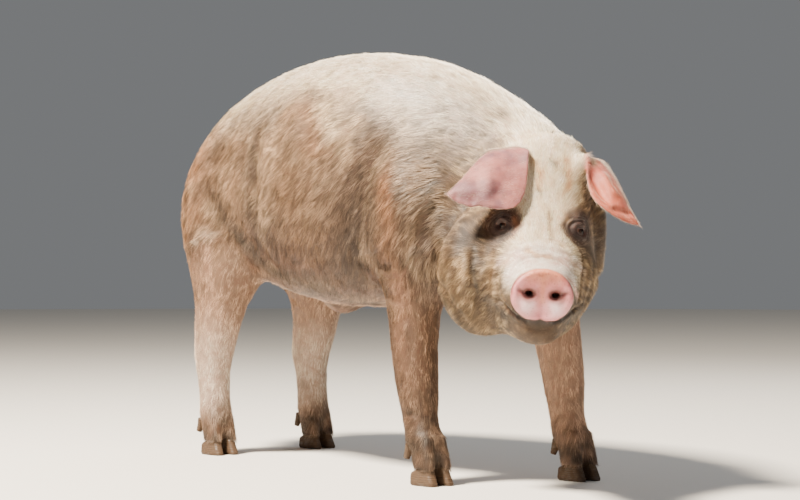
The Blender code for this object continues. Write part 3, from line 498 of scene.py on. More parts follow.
class Skin:
    """The whole hide: grown from the flesh solids, folded, thinned and marked, with painted shade
    and painted highlights among its marks.
    """

    voxel: float = 2.8 * MM
    budget: int = 178000
    coat_depth: float = 3.0 * MM
    disc_stretch: tuple = (1.4, 1.0, 1.0)

    def __init__(self, marks: Landmarks) -> None:
        """Grow the skin and read its shape into arrays.

        Args:
            marks: The places of head, disc and eyes.
        """
        self.marks = marks
        self.trunk = Matrix.Translation(marks.shift)
        self.head = marks.head()
        self.disc = marks.disc()
        self.tree, self.kinds = self.solid_tree()
        self.mesh = self.grow()
        self.read()
        self.soften()
        self.sculpt()
        self.thin()
        self.read()
        self.regions = self.nearest_regions()
        self.wet = self.masks()
        self.flow = self.hair_flow()
        self.colours = self.markings_and_painted_light()
        self.unwrap()
        self.store()

    def solid_tree(self) -> tuple[BVHTree, np.ndarray]:
        """A search tree of all flesh solids, and the region of each of its faces."""
        verts: list = []
        faces: list = []
        kinds: list = []
        for node in FLESH:
            bm = merged_copy(node)
            start = len(verts)
            verts += [vert.co.copy() for vert in bm.verts]
            faces += [[start + vert.index for vert in face.verts] for face in bm.faces]
            kinds += [region_of(node).value] * len(bm.faces)
            bm.free()
        return BVHTree.FromPolygons(verts, faces), np.array(kinds)

    def grow(self) -> bpy.types.Mesh:
        """Join swollen copies of the flesh solids into one closed surface."""
        mesh = bpy.data.meshes.new("hide")
        whole = bmesh.new()
        for node in FLESH:
            bm = merged_copy(node, 1.0 * MM if node.startswith("ear") else 0.5 * MM)
            bm.to_mesh(mesh)
            whole.from_mesh(mesh)
            bm.free()
        whole.to_mesh(mesh)
        whole.free()
        thing = placed("hide", mesh)
        remesh = thing.modifiers.new("join", "REMESH")
        remesh.mode = "VOXEL"
        remesh.voxel_size = self.voxel
        joined = applied(thing)
        bm = bmesh.new()
        bm.from_mesh(joined)
        self.keep_largest(bm)
        bm.to_mesh(joined)
        bm.free()
        return joined

    @staticmethod
    def keep_largest(bm: bmesh.types.BMesh) -> None:
        """Delete all but the largest connected surface of a bmesh."""
        seen: set = set()
        shells: list = []
        for start in bm.verts:
            if start in seen:
                continue
            shell = [start]
            seen.add(start)
            for vert in shell:
                for edge in vert.link_edges:
                    other = edge.other_vert(vert)
                    if other not in seen:
                        seen.add(other)
                        shell.append(other)
            shells.append(shell)
        shells.sort(key=len)
        for shell in shells[:-1]:
            bmesh.ops.delete(bm, geom=shell, context="VERTS")

    def read(self) -> None:
        """Read the mesh's points, normals and edges into arrays."""
        self.points = read_rows(self.mesh.vertices, "co", 3)
        self.normals = read_rows(self.mesh.vertex_normals, "vector", 3)
        self.edges = read_rows(self.mesh.edges, "vertices", 2, np.int64)

    def write(self) -> None:
        """Write the points back to the mesh and read its normals again."""
        self.mesh.vertices.foreach_set("co", self.points.ravel())
        self.mesh.update()
        self.read()

    def blur(self, values: np.ndarray, rounds: int, keep: np.ndarray | None = None) -> np.ndarray:
        """Average values with their neighbours' along the skin.

        Args:
            values: One row or number for each vertex.
            rounds: How often.
            keep: Share of its own value that each vertex keeps.

        Returns:
            The blurred values.
        """
        count = len(self.points)
        first, second = self.edges.T
        share = np.bincount(first, minlength=count) + np.bincount(second, minlength=count)
        rows = values.reshape(count, -1).astype(float)
        hold = np.full((count, 1), 0.5) if keep is None else keep.reshape(-1, 1)
        for _ in range(rounds):
            mean = np.empty_like(rows)
            for column in range(rows.shape[1]):
                mean[:, column] = (
                    np.bincount(first, rows[second, column], count)
                    + np.bincount(second, rows[first, column], count)) / share
            rows = rows * hold + mean * (1 - hold)
        return rows.reshape(values.shape)

    def nearest_regions(self) -> np.ndarray:
        """The region of the flesh solid nearest to each vertex."""
        find = self.tree.find_nearest
        return self.kinds[[find(Vector(point))[2] for point in self.points]]

    def eye_distance(self, points: np.ndarray) -> np.ndarray:
        """Distance of each point from the nearer eye's centre."""
        near = np.full(len(points), 9.0)
        for side in (-1, 1):
            centre = np.array(self.marks.eye(side).translation)
            near = np.minimum(near, np.linalg.norm(points - centre, axis=1))
        return near

    def disc_distance(self) -> np.ndarray:
        """Distance of each vertex from the disc's middle, counted larger along its axis."""
        return np.linalg.norm(in_frame(self.points, self.disc) * self.disc_stretch, axis=1)

    def disc_ring(self, local: np.ndarray) -> np.ndarray:
        """How far out on the disc each point of its frame lies, 1 being the disc's edge."""
        half = self.marks.disc_half
        return np.hypot(local[:, 1] / half[0], local[:, 2] / half[1])

    def slit_distance(self, local: np.ndarray, side: int) -> np.ndarray:
        """Distance of points from the slit beside a nostril, seen square to the disc.

        Args:
            local: Points in the disc's frame.
            side: 1 for the left slit and -1 for the right.

        Returns:
            The distances.
        """
        line = np.array([[0, side * across, up] for across, up in self.marks.slit])
        return self.line_distance(local * np.array([0, 1, 1]), line)[0]

    def soften(self) -> None:
        """Smooth the solids' facets away, least on ears, eyes, toes and snout."""
        region = self.nearest_regions()
        strength = np.full(len(self.points), 0.50)
        strength[region == Region.HEAD.value] = 0.16
        strength[among(region, EARS)] = 0.025
        strength[region == Region.TAIL.value] = 0.05
        legs = among(region, LEGS)
        height = self.points[:, 2]
        strength[legs] = 0.06 + 0.34 * smooth_step(0.10, 0.26, height[legs])
        disc = self.disc_distance()
        strength = np.where(disc < 0.075, np.minimum(strength, 0.045), strength)
        strength = np.where(self.eye_distance(self.points) < 0.024,
                            np.minimum(strength, 0.03), strength)
        strength = self.blur(strength, 6)
        self.points = self.blur(self.points, 110, 1 - strength)
        self.write()

    def fold_lines(self, folds: tuple, tree: BVHTree,
                   place: Matrix) -> list[tuple[Fold | Tint, np.ndarray]]:
        """Lay folds or stains on the skin, and their twins on the pig's other side.

        Args:
            folds: The folds or stains, in pixels.
            tree: Search tree of the skin.
            place: The frame whose middle plane is the mirror.

        Returns:
            Each fold or stain with its line in space, twice if it has a twin.
        """
        eye = self.marks.camera_place()
        laid = []
        for fold in folds:
            hits = [tree.ray_cast(eye, self.marks.ray(pixel))[0] for pixel in fold.pixels]
            hits = [hit for hit in hits if hit is not None]
            if len(hits) < 2:
                continue
            laid.append((fold, np.array([list(hit) for hit in hits])))
            if not fold.twin:
                continue
            flip = place @ Matrix.Diagonal((1, -1, 1, 1)) @ place.inverted()
            twins = [tree.find_nearest(flip @ hit)[0] for hit in hits]
            laid.append((fold, np.array([list(twin) for twin in twins])))
        return laid

    @staticmethod
    def line_distance(points: np.ndarray, line: np.ndarray) -> tuple[np.ndarray, np.ndarray]:
        """Distance from points to a line, and the share of the line at the nearest place.

        Args:
            points: Rows of coordinates.
            line: The line's points in order.

        Returns:
            Distances and shares.
        """
        best = np.full(len(points), 9.0)
        share = np.zeros(len(points))
        for step, (start, end) in enumerate(zip(line[:-1], line[1:])):
            run = end - start
            part = np.clip((points - start) @ run / max(run @ run, 1e-12), 0, 1)
            gap = np.linalg.norm(points - start - part[:, None] * run, axis=1)
            closer = gap < best
            best = np.where(closer, gap, best)
            share = np.where(closer, (step + part) / (len(line) - 1), share)
        return best, share

    def search_tree(self) -> BVHTree:
        """A search tree of the skin as it is now."""
        return BVHTree.FromPolygons(
            [Vector(point) for point in self.points],
            [list(face.vertices) for face in self.mesh.polygons])

    def press(self, laid: list[tuple[Fold, np.ndarray]], move: np.ndarray,
              where: np.ndarray | float = 1.0) -> None:
        """Add laid folds to how far each vertex moves along its normal.

        Args:
            laid: Folds with their lines.
            move: The moves, changed in place.
            where: Share of the fold that each vertex takes.
        """
        pressed = np.zeros(len(self.points))
        for fold, line in laid:
            width = fold.width * MM
            reach = width * 3.2
            near = np.all((self.points > line.min(axis=0) - reach)
                          & (self.points < line.max(axis=0) + reach), axis=1)
            index = np.nonzero(near)[0]
            gap, share = self.line_distance(self.points[index], line)
            wave = soft_noise(self.points[index], width * 2.2, 71)
            gap = np.abs(gap + 0.30 * width * wave)
            fade = smooth_step(0.0, 0.25, share) * smooth_step(0.0, 0.25, 1 - share)
            fade = fade * (0.80 + 0.35 * soft_noise(self.points[index], width * 4, 72))
            groove = np.exp(-(gap / width) ** 2)
            bank = np.exp(-((gap - 1.7 * width) / (0.8 * width)) ** 2) * fold.bank * 0.6
            pressed[index] -= fold.depth * MM * fade * (groove - bank)
        move += pressed * where

    def sculpt_disc(self, move: np.ndarray) -> None:
        """Give the snout disc its rolled rim, lobes, middle groove, nostril rims and slits.

        Args:
            move: The moves along the normals, changed in place.
        """
        local = in_frame(self.points, self.disc)
        across = local[:, 1]
        up = local[:, 2]
        ring = self.disc_ring(local)
        front = smooth_step(-0.014, -0.006, local[:, 0]) * (ring < 1.3)
        behind = smooth_step(-0.034, -0.026, local[:, 0]) * smooth_step(-0.010, -0.016, local[:, 0])
        move -= behind * 2.0 * MM * smooth_step(0.9, 1.0, ring) * smooth_step(1.45, 1.2, ring)
        move += front * 1.3 * MM * np.exp(-((ring - 0.86) / 0.09) ** 2)
        lobes = np.exp(-((np.abs(across) - 0.025) / 0.013) ** 2 - ((up + 0.020) / 0.013) ** 2)
        move += front * 2.6 * MM * lobes
        move -= front * 0.9 * MM * np.exp(-(ring / 0.55) ** 2)
        low = smooth_step(0.012, -0.030, up)
        move -= front * 2.2 * MM * np.exp(-(across / 0.0045) ** 2) * low
        for side in (-1, 1):
            gap = np.hypot(across - side * self.marks.nostril_spread,
                           up - self.marks.nostril_height)
            move += front * 1.4 * MM * np.exp(-((gap - 0.0125) / 0.0035) ** 2)
            slit = self.slit_distance(local, side)
            move -= front * 3.0 * MM * np.exp(-(slit / 0.0040) ** 2)
        wrinkle = soft_noise(self.points, 4.5 * MM, 11) + 0.6 * soft_noise(self.points, 9 * MM, 12)
        move += front * 0.25 * MM * wrinkle

    def narrow_nostrils(self) -> None:
        """Draw each nostril's walls together below the surface, so that it is a soft funnel."""
        local = in_frame(self.points, self.disc)
        deep = smooth_step(0.0005, -0.0045, local[:, 0]) * (local[:, 0] > -0.060)
        for side in (-1, 1):
            aside = local[:, 1] - side * self.marks.nostril_spread
            up = local[:, 2] - self.marks.nostril_height
            share = 0.25 * deep * smooth_step(0.0175, 0.0120, np.hypot(aside, up))
            change = np.stack([np.zeros(len(share)), -aside * share, -up * share * 1.25], axis=1)
            self.points = self.points + out_of_frame(change, self.disc)
        self.write()

    def open_eyes(self) -> None:
        """Draw the skin back from each eye's almond opening, down into the ball."""
        half = np.array(Eye.opening)
        for side in (-1, 1):
            place = self.marks.eye(side) @ Matrix.Rotation(Eye.slant * side, 4, "X")
            local = in_frame(self.points, place)
            reach = np.linalg.norm(local, axis=1)
            ring = np.hypot(local[:, 1] / half[0], local[:, 2] / half[1])
            inside = (1 - smooth_step(0.90, 1.12, ring)) * (local[:, 0] > 0) * (reach < 0.022)
            target = self.marks.eye_radius - 1.4 * MM
            change = inside * np.minimum(target - reach, 0)
            ways = out_of_frame(unit(local), place)
            self.points = self.points + ways * change[:, None]
        self.write()

    def sculpt_lids(self, move: np.ndarray) -> None:
        """Raise the lids over the eyes and lay loose rings of skin round them.

        Args:
            move: The moves along the normals, changed in place.
        """
        for side in (-1, 1):
            local = in_frame(self.points, self.marks.eye(side))
            ahead = smooth_step(-0.012, -0.002, local[:, 0])
            across = local[:, 1] * 0.74
            up = local[:, 2]
            ring = np.hypot(across, up)
            above = smooth_step(-0.004, 0.006, up)
            lid = np.exp(-((ring - 0.0125) / 0.0032) ** 2)
            move += ahead * 1.5 * MM * lid * (0.45 + 0.55 * above)
            for reach, depth in ((0.0165, 1.9), (0.0230, 1.2), (0.0295, 0.8)):
                wave = 0.0036 * soft_noise(self.points, 0.022, 51)
                groove = np.exp(-((ring + wave - reach) / 0.0019) ** 2)
                bank = 0.6 * np.exp(-((ring + wave - reach - 0.0032) / 0.0024) ** 2)
                share = 0.35 + 0.65 * smooth_step(-0.010, 0.010, up + 0.35 * side * local[:, 1])
                move -= ahead * depth * MM * share * (groove - bank)
            hollow = np.exp(-((ring - 0.027) / 0.012) ** 2)
            move -= ahead * 2.0 * MM * hollow * smooth_step(0.0, 0.016, -side * local[:, 1])

    def mouth_line(self) -> np.ndarray:
        """The line of the mouth from right corner round the front to left, near the skin.

        It passes just under the disc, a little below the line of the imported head.
        """
        points = []
        steps = 28
        for step in range(steps + 1):
            turn = math.pi * (step / steps - 0.5)
            forward = math.cos(turn)
            aside = math.sin(turn)
            points.append(Vector((
                0.015 + 0.150 * forward ** 0.55,
                math.copysign(0.072 * abs(aside) ** 1.2, aside),
                -0.1725 + 0.0445 * (1 - forward) ** 1.5,
            )))
        return np.array([list(self.tree.find_nearest(self.head @ point)[0]) for point in points])

    def sculpt(self) -> None:
        """Press folds, mouth, disc and loose skin into the hide, and sink it under the coat.

        Then the leg joins are smoothed, the nostrils narrowed and the eyes opened.
        """
        tree = self.search_tree()
        move = np.zeros(len(self.points))
        region = self.nearest_regions()
        ears = among(region, EARS)
        flesh = 1 - self.blur(ears.astype(float), 3)
        self.press(self.fold_lines(BODY_FOLDS, tree, self.trunk), move, flesh)
        self.press(self.fold_lines(HEAD_FOLDS, tree, self.head), move, flesh)
        outward = np.where(self.normals @ np.array(self.marks.towards()) < 0, -1.0, 1.0)
        self.press(self.fold_lines(EAR_FOLDS, tree, self.head), move,
                   outward * self.blur(ears * 1.0, 12))
        self.sculpt_disc(move)
        self.sculpt_lids(move)
        self.mouth = self.mouth_line()
        gap, _ = self.line_distance(self.points, self.mouth)
        move -= 3.6 * MM * np.exp(-(gap / 0.0040) ** 2)
        move += 1.4 * MM * np.exp(-((gap - 0.0095) / 0.0045) ** 2)
        legs = among(region, LEGS)
        body = among(region, TRUNK)
        sink = np.full(len(self.points), 1.6 * MM)
        height = self.points[:, 2]
        sink[body] = self.coat_depth
        sink[ears] = 0.75 * MM
        sink[legs] = MM * (1.0 + 2.0 * smooth_step(0.24, 0.40, height[legs]))
        sink[region == Region.TAIL.value] = 0.6 * MM
        disc = self.disc_distance()
        sink = np.where(disc < 0.080, 0.2 * MM, sink)
        sink = np.where(self.eye_distance(self.points) < 0.020, 0.0, sink)
        move -= self.blur(sink, 12)
        loose = soft_noise(self.points, 0.090, 3) * 1.6 + soft_noise(self.points, 0.038, 4) * 0.7
        move += body * loose * MM
        move += (~ears & ~body) * soft_noise(self.points, 0.016, 5) * 0.35 * MM
        self.points = self.points + self.normals * move[:, None]
        limb = self.blur(legs.astype(float), 40)
        join = smooth_step(0.10, 0.70, 4 * limb * (1 - limb)) * smooth_step(0.30, 0.40, height)
        self.points += (self.blur(self.points, 60) - self.points) * join[:, None]
        self.write()
        self.narrow_nostrils()
        self.open_eyes()

    def thin(self) -> None:
        """Reduce the mesh to its budget, least on the head, ears and feet."""
        thing = placed("hide", self.mesh)
        local = in_frame(self.points, self.head)
        fine = smooth_step(0.26, 0.16, np.linalg.norm(local - np.array([0.02, 0, -0.03]), axis=1))
        fine = np.maximum(fine, smooth_step(0.16, 0.08, self.points[:, 2]) * 0.7)
        group = thing.vertex_groups.new(name="coarse")
        levels = np.round((1 - fine) * 10).astype(int)
        for level in range(1, 11):
            index = np.nonzero(levels == level)[0]
            if len(index):
                group.add(index.tolist(), level / 10, "REPLACE")
        thinner = thing.modifiers.new("thin", "DECIMATE")
        faces = sum(len(face.vertices) - 2 for face in self.mesh.polygons)
        thinner.ratio = self.budget / faces
        thinner.vertex_group = group.name
        thinner.vertex_group_factor = 1.2
        self.mesh = applied(thing)
        LOG.info("hide thinned from %d to %d faces", faces, len(self.mesh.polygons))

    def masks(self) -> dict[str, np.ndarray]:
        """Soft masks over the skin's vertices: disc, nostril, mouth, lid and each region."""
        local = in_frame(self.points, self.disc)
        ring = self.disc_ring(local)
        front = smooth_step(-0.022, -0.012, local[:, 0])
        aside = np.abs(local[:, 1])
        lowest = -0.0485 + 0.0150 * (aside / 0.040) ** 2 + 0.0070 * np.exp(-(aside / 0.008) ** 2)
        made = {"disc": front * smooth_step(1.08, 0.99, ring)
                * smooth_step(0.0, 0.0030, local[:, 2] - lowest)}
        nostril = np.zeros(len(self.points))
        for side in (-1, 1):
            gap = np.hypot(local[:, 1] - side * self.marks.nostril_spread,
                           local[:, 2] - self.marks.nostril_height)
            depth = smooth_step(-0.0035, -0.0095, local[:, 0])
            nostril = np.maximum(nostril, smooth_step(0.0125, 0.0070, gap) * depth)
        made["nostril"] = nostril * (ring < 1.0) * smooth_step(-0.05, -0.04, local[:, 0])
        gap, _ = self.line_distance(self.points, self.mouth)
        ahead = smooth_step(0.055, 0.125, in_frame(self.points, self.head)[:, 0])
        made["mouth"] = smooth_step(0.0095, 0.0035, gap) * ahead
        made["lid"] = smooth_step(0.028, 0.015, self.eye_distance(self.points))
        made["socket"] = smooth_step(0.0145, 0.0132, self.eye_distance(self.points))
        for region in Region:
            rounds = 8 if "EAR" in region.name else 60
            made[region.name] = self.blur((self.regions == region.value).astype(float), rounds)
        return made

    def hair_flow(self) -> np.ndarray:
        """The direction in which hair lies at each vertex, along the skin."""
        count = len(self.points)
        side = np.sign(self.points[:, 1] - self.marks.shift.y)
        steep = np.abs(self.normals[:, 1])
        low = smooth_step(0.62, 0.36, self.points[:, 2])
        body = np.stack([
            -1.0 + 0.55 * low, np.zeros(count), -0.15 - 0.55 * steep - 0.7 * low * steep], axis=1)
        neck = np.stack([np.full(count, -1.0), -0.25 * np.ones(count), -0.7 * steep], axis=1)
        at_head = in_frame(self.points, self.head)
        cheek = smooth_step(0.02, 0.08, np.abs(at_head[:, 1]))
        head = out_of_frame(np.stack([
            np.full(count, -1.0), np.sign(at_head[:, 1]) * 0.5 * cheek,
            0.5 - 1.3 * cheek * smooth_step(0.02, -0.10, at_head[:, 2])], axis=1), self.head)
        ears = {
            Region.EAR_RIGHT: out_of_frame(np.array([[0.05, -0.9, -0.40]]), self.head),
            Region.EAR_LEFT: out_of_frame(np.array([[0.20, 0.75, -0.75]]), self.head),
        }
        legs = np.stack([np.full(count, -0.25), side * 0.1, np.full(count, -1.0)], axis=1)
        lines = {
            Region.BODY: body, Region.NECK: neck, Region.HEAD: head, Region.FORELEG: legs,
            Region.HINDLEG: legs, Region.TAIL: np.tile([-0.2, 0.1, -1.0], (count, 1)),
            **{ear: np.tile(way[0], (count, 1)) for ear, way in ears.items()},
        }
        flow = np.zeros((count, 3))
        for region, lie in lines.items():
            chosen = self.regions == region.value
            flow[chosen] = unit(lie)[chosen]
        for _ in range(6):
            flow = self.blur(flow, 4)
            flow -= self.normals * np.sum(flow * self.normals, axis=1, keepdims=True)
            flow = unit(flow)
        return flow

    def markings_and_painted_light(self) -> np.ndarray:
        """The hide's colour at each vertex, linear, before its fine pattern, painted shade and
        highlights included.
        """
        tone = self.body_colours()
        tree = self.search_tree()
        ears = np.maximum(self.wet["EAR_LEFT"], self.wet["EAR_RIGHT"])
        tone = self.stain_and_shade(tone, self.fold_lines(BODY_TINTS, tree, self.trunk), 1 - ears)
        tone = self.head_colours(tone)
        tone = self.stain_and_shade(tone, self.fold_lines(HEAD_TINTS, tree, self.head), self.wet["HEAD"])
        tone = self.leg_colours(tone)
        tone = self.ear_colours(tone)
        return self.snout_colours(tone)

    @staticmethod
    def mix(base: np.ndarray, *layers: tuple[str, np.ndarray]) -> np.ndarray:
        """Blend colours into the base, one after another.

        Args:
            base: Linear colours.
            layers: Hex colours, each with how much of it every row takes.

        Returns:
            The blended colours.
        """
        for colour, share in layers:
            part = np.clip(share, 0, 1)[:, None]
            base = base * (1 - part) + np.array(linear(colour)) * part
        return base

    def stain_and_shade(self, tone: np.ndarray, laid: list, where: np.ndarray) -> np.ndarray:
        """Lay stains and painted shade over the colours, broken up into streaks.

        Args:
            tone: The colours.
            laid: Tints with their lines.
            where: Share of each stain that a vertex takes.

        Returns:
            The stained colours.
        """
        ragged = (soft_noise(self.points, 0.020, 61) * 0.35
                  + soft_noise(self.points, 0.008, 62) * 0.25)
        for tint, line in laid:
            width = tint.width * MM
            gap, _ = self.line_distance(self.points, line)
            share = np.exp(-(gap / width) ** 2) * (1 + ragged) * min(tint.share * 1.35, 0.95)
            tone = self.mix(tone, (tint.colour, share * where))
        return tone

    def body_colours(self) -> np.ndarray:
        """Cream above, tan on the flanks, grubby and streaked towards the belly; the flanks and
        belly are part dirt and part painted shade, and faces turned down are painted shade.
        """
        points = self.points
        up = self.normals[:, 2]
        place = points - np.array(self.marks.shift)
        cloud = soft_noise(points, 0.11, 21) * 0.6 + soft_noise(points, 0.045, 22) * 0.4
        skew = points @ np.array([[0.80, 0, 0.35], [0, 1, 0], [-0.60, 0, 0.47]])
        streak = soft_noise(skew * np.array([0.28, 1.0, 1.5]), 0.0095, 23)
        # The sides, by how far their faces turn from up, and the low flanks darken: part dirt, part
        # painted shade.
        side = smooth_step(0.86, 0.20, up + 0.10 * cloud)
        rump = smooth_step(-0.28, -0.44, place[:, 0])
        dirt_and_shade = smooth_step(0.70, 0.42, points[:, 2] + 0.05 * cloud)
        dirt_and_shade *= smooth_step(-0.56, -0.36, place[:, 0]) * side
        dark = smooth_step(0.05, 0.60, streak + 0.3 * cloud)
        light = smooth_step(0.10, 0.65, -streak)
        return self.mix(
            np.tile(linear("F8E6CA"), (len(points), 1)),
            ("583A1E", side * 0.95),
            ("AE8462", rump * side * 0.88),
            ("482E16", dirt_and_shade * (0.75 + 0.25 * cloud)),
            # Painted shade on faces that turn down.
            ("5A3728", smooth_step(-0.10, -0.60, up) * 0.85),
            ("3A2614", dark * (0.12 + 0.50 * side)),
            ("E2C29A", light * side * 0.34))

    def head_colours(self, tone: np.ndarray) -> np.ndarray:
        """Golden tan cheeks with dark rows, a pale brow and bridge, a dark chin and lids; painted
        shade darkens the jaw below, the chin and round the eyes.
        """
        head = self.wet["HEAD"]
        local = in_frame(self.points, self.head)
        aside = np.abs(local[:, 1])
        up = local[:, 2]
        cloud = soft_noise(self.points, 0.05, 25)
        rows = soft_noise(local * np.array([0.5, 0.7, 1.8]), 0.008, 26)
        brow = smooth_step(0.080, 0.050, aside) * smooth_step(-0.14, -0.06, up)
        cheek = head * (1 - brow)
        warm = smooth_step(0.2, 0.9, soft_noise(local * np.array([1, 1, 0.35]), 0.012, 27))
        bridge = smooth_step(0.085, 0.050, np.hypot(local[:, 0] - 0.120, aside * 0.9))
        bridge *= smooth_step(-0.13, -0.08, up)
        chin = smooth_step(-0.160, -0.180, up) * smooth_step(0.04, 0.10, local[:, 0])
        near = self.eye_distance(self.points)
        ragged = near + 0.008 * cloud + 0.004 * soft_noise(self.points, 0.014, 66)
        hollow = smooth_step(0.056, 0.028, ragged) * smooth_step(0.026, 0.052, aside)
        crease = smooth_step(0.15, 0.7, soft_noise(self.points, 0.006, 28))
        return self.mix(
            tone,
            ("5E421E", cheek * (0.92 + 0.08 * cloud)),
            # Painted shade: the head darker towards its underside.
            ("46300F", head * smooth_step(-0.08, -0.17, up) * 0.90),
            ("FFEBC8", head * brow * 0.97),
            ("D8A873", head * brow * warm * 0.30),
            ("3A2814", cheek * smooth_step(0.05, 0.65, rows) * 0.60),
            ("D9BC8C", cheek * smooth_step(0.1, 0.7, -rows) * 0.42),
            ("FFF3E6", head * bridge * 0.88),
            # The chin: part its own dark colour, part painted shade.
            ("4C3210", head * chin * 0.92),
            # Painted shade round the eyes: hollow, rings and creases, the next four layers.
            ("4A3026", head * hollow * 0.84),
            ("5E4A3C", head * smooth_step(0.042, 0.030, ragged) * 0.85),
            ("2A1A18", head * smooth_step(0.033, 0.020, ragged) * 0.94),
            ("6A4A42", head * hollow * crease * 0.35))

    def leg_colours(self, tone: np.ndarray) -> np.ndarray:
        """Tan forelegs, pale shanks behind, and mud towards the feet; the far left foreleg is
        painted paler, less blotched and less muddy, as painted light.
        """
        height = self.points[:, 2]
        cloud = soft_noise(self.points, 0.05, 29)
        fine = soft_noise(self.points, 0.014, 30)
        fore = self.wet["FORELEG"]
        hind = self.wet["HINDLEG"]
        # far: the pig's left side; its foreleg gets painted light, paler with less mud and fewer
        # blotches.
        far = smooth_step(-0.02, 0.02, self.points[:, 1] - self.marks.shift.y)
        mud = (fore + hind) * smooth_step(0.15, 0.05, height + 0.05 * cloud)
        low = smooth_step(0.32, 0.12, height + 0.07 * cloud)
        mud = np.maximum(mud, fore * low * (0.65 - 0.45 * far))
        return self.mix(
            tone,
            ("7E5C42", fore * smooth_step(0.40, 0.30, height) * 0.85),
            ("CFA78A", fore * far * 0.80),
            ("AE886A", hind * smooth_step(0.50, 0.40, height) * 0.92),
            ("DFC8B4", hind * smooth_step(0.33, 0.22, height)
             * smooth_step(0.06, 0.13, height) * 0.85),
            ("3E2718", fore * smooth_step(0.0, 0.6, fine + 0.4 * cloud) * (0.55 - 0.30 * far)),
            ("3C2917", mud * (0.74 + 0.35 * fine)))

    def ear_colours(self, tone: np.ndarray) -> np.ndarray:
        """Mauve ears with bruises, veins and a pale rim, the left one salmon underneath."""
        right = self.wet["EAR_RIGHT"]
        left = self.wet["EAR_LEFT"]
        facing = self.normals @ np.array(self.marks.towards())
        bruise = smooth_step(-0.55, 0.75, soft_noise(self.points, 0.042, 24)
                             + 0.45 * soft_noise(self.points, 0.012, 63))
        drawn_out = self.points * np.array([1.0, 1.0, 0.45])
        veins = smooth_step(0.25, 0.75, soft_noise(drawn_out, 0.0065, 67))
        under = smooth_step(0.1, -0.5, facing)
        specks = smooth_step(0.62, 0.85, soft_noise(self.points, 0.0055, 64))
        rim = smooth_step(0.45, 0.15, np.abs(facing)) * smooth_step(
            0.9, 0.98, np.maximum(left, right))
        return self.mix(
            tone,
            ("9E6662", right),
            ("5A3E4C", right * bruise * 0.72),
            ("70424A", right * veins * 0.45),
            ("AC5A42", left),
            ("84464A", left * bruise * 0.50),
            ("8A4A3C", left * veins * 0.40),
            ("A8583A", left * under * 0.75),
            ("B98A72", right * under * 0.55),
            ("5A4038", (left + right) * specks * 0.45),
            ("EFD3BF", rim * 0.35))

    def snout_colours(self, tone: np.ndarray) -> np.ndarray:
        """Pink disc, salmon above and spotted down the middle, with a painted highlight on its
        lower lobes and painted shade round its rim, under it, along the mouth, round and in the
        nostrils, along their slits and in the eye sockets.
        """
        disc = self.wet["disc"]
        local = in_frame(self.points, self.disc)
        ring = self.disc_ring(local)
        aside = np.abs(local[:, 1])
        up = local[:, 2]
        # edge: painted shade along the disc's upper rim.
        edge = smooth_step(0.935, 0.985, ring) * smooth_step(-0.020, 0.010, up)
        middle = np.exp(-(aside / 0.0065) ** 2) * smooth_step(-0.020, -0.008, up)
        # lobes: painted highlight on the disc's lower lobes.
        lobes = np.exp(-((aside - 0.026) / 0.014) ** 2 - ((up + 0.017) / 0.014) ** 2)
        specks = smooth_step(0.45, 0.80, soft_noise(self.points, 0.0035, 65))
        tone = self.mix(
            tone,
            ("DC9298", disc),
            ("B87478", disc * smooth_step(0.80, 1.0, ring) * 0.70),
            ("6A3A30", disc * edge * 0.75),
            ("CE8463", disc * smooth_step(0.008, 0.040, up)
             * smooth_step(0.050, 0.020, aside) * 0.85),
            ("C9815E", disc * middle * 0.65),
            # Painted highlight on the lower lobes.
            ("FFE9EE", disc * lobes * 0.85),
            ("9A5138", disc * specks * smooth_step(-0.030, 0.020, up) * 0.50))
        # Painted shade round each nostril and along its slit.
        for side in (-1, 1):
            gap = np.hypot((local[:, 1] - side * 0.0235) * 0.75, up - 0.0035)
            slit = self.slit_distance(local, side)
            tone = self.mix(
                tone,
                ("A0605C", disc * smooth_step(0.0190, 0.0100, gap) * 0.70),
                ("4A2826", disc * smooth_step(0.0120, 0.0080, gap) * 0.85),
                ("5E3836", disc * np.exp(-(slit / 0.0032) ** 2) * 0.75))
        near = smooth_step(-0.040, -0.028, local[:, 0])
        # rim: painted shade in the groove round the disc.
        rim = np.exp(-((ring - 1.07) / 0.05) ** 2) * near
        pink = smooth_step(1.75, 1.15, ring) * near * smooth_step(-0.03, 0.0, up)
        # below: painted shade under the disc.
        below = smooth_step(1.45, 1.05, ring) * smooth_step(0.004, -0.022, up)
        return self.mix(
            tone,
            ("3E261A", rim * 0.88),
            ("DCA48E", pink * (1 - disc) * 0.60),
            ("3C2810", near * below * (1 - disc) * 0.90),
            # Painted shade along the mouth's groove.
            ("2E1B16", self.wet["mouth"] * 0.85),
            # Painted shade deep in the nostrils and in the eye sockets by the balls.
            ("2A1512", np.maximum(self.wet["nostril"], self.wet["socket"])))

    def unwrap(self) -> None:
        """Lay the skin out flat, by the slope of its own faces."""
        thing = placed("hide", self.mesh)
        bpy.context.view_layer.objects.active = thing
        thing.select_set(True)
        self.mesh.uv_layers.new(name="OFBake")
        bpy.ops.object.mode_set(mode="EDIT")
        bpy.ops.mesh.select_all(action="SELECT")
        bpy.ops.uv.smart_project(
            angle_limit=math.radians(72), island_margin=0.002, rotate_method="AXIS_ALIGNED")
        bpy.ops.object.mode_set(mode="OBJECT")
        bpy.data.objects.remove(thing, do_unlink=True)

    def store(self) -> None:
        """Keep the hide's colours, painted shade and highlights included, and its wetness on the
        mesh, for the finish to read.
        """
        count = len(self.points)
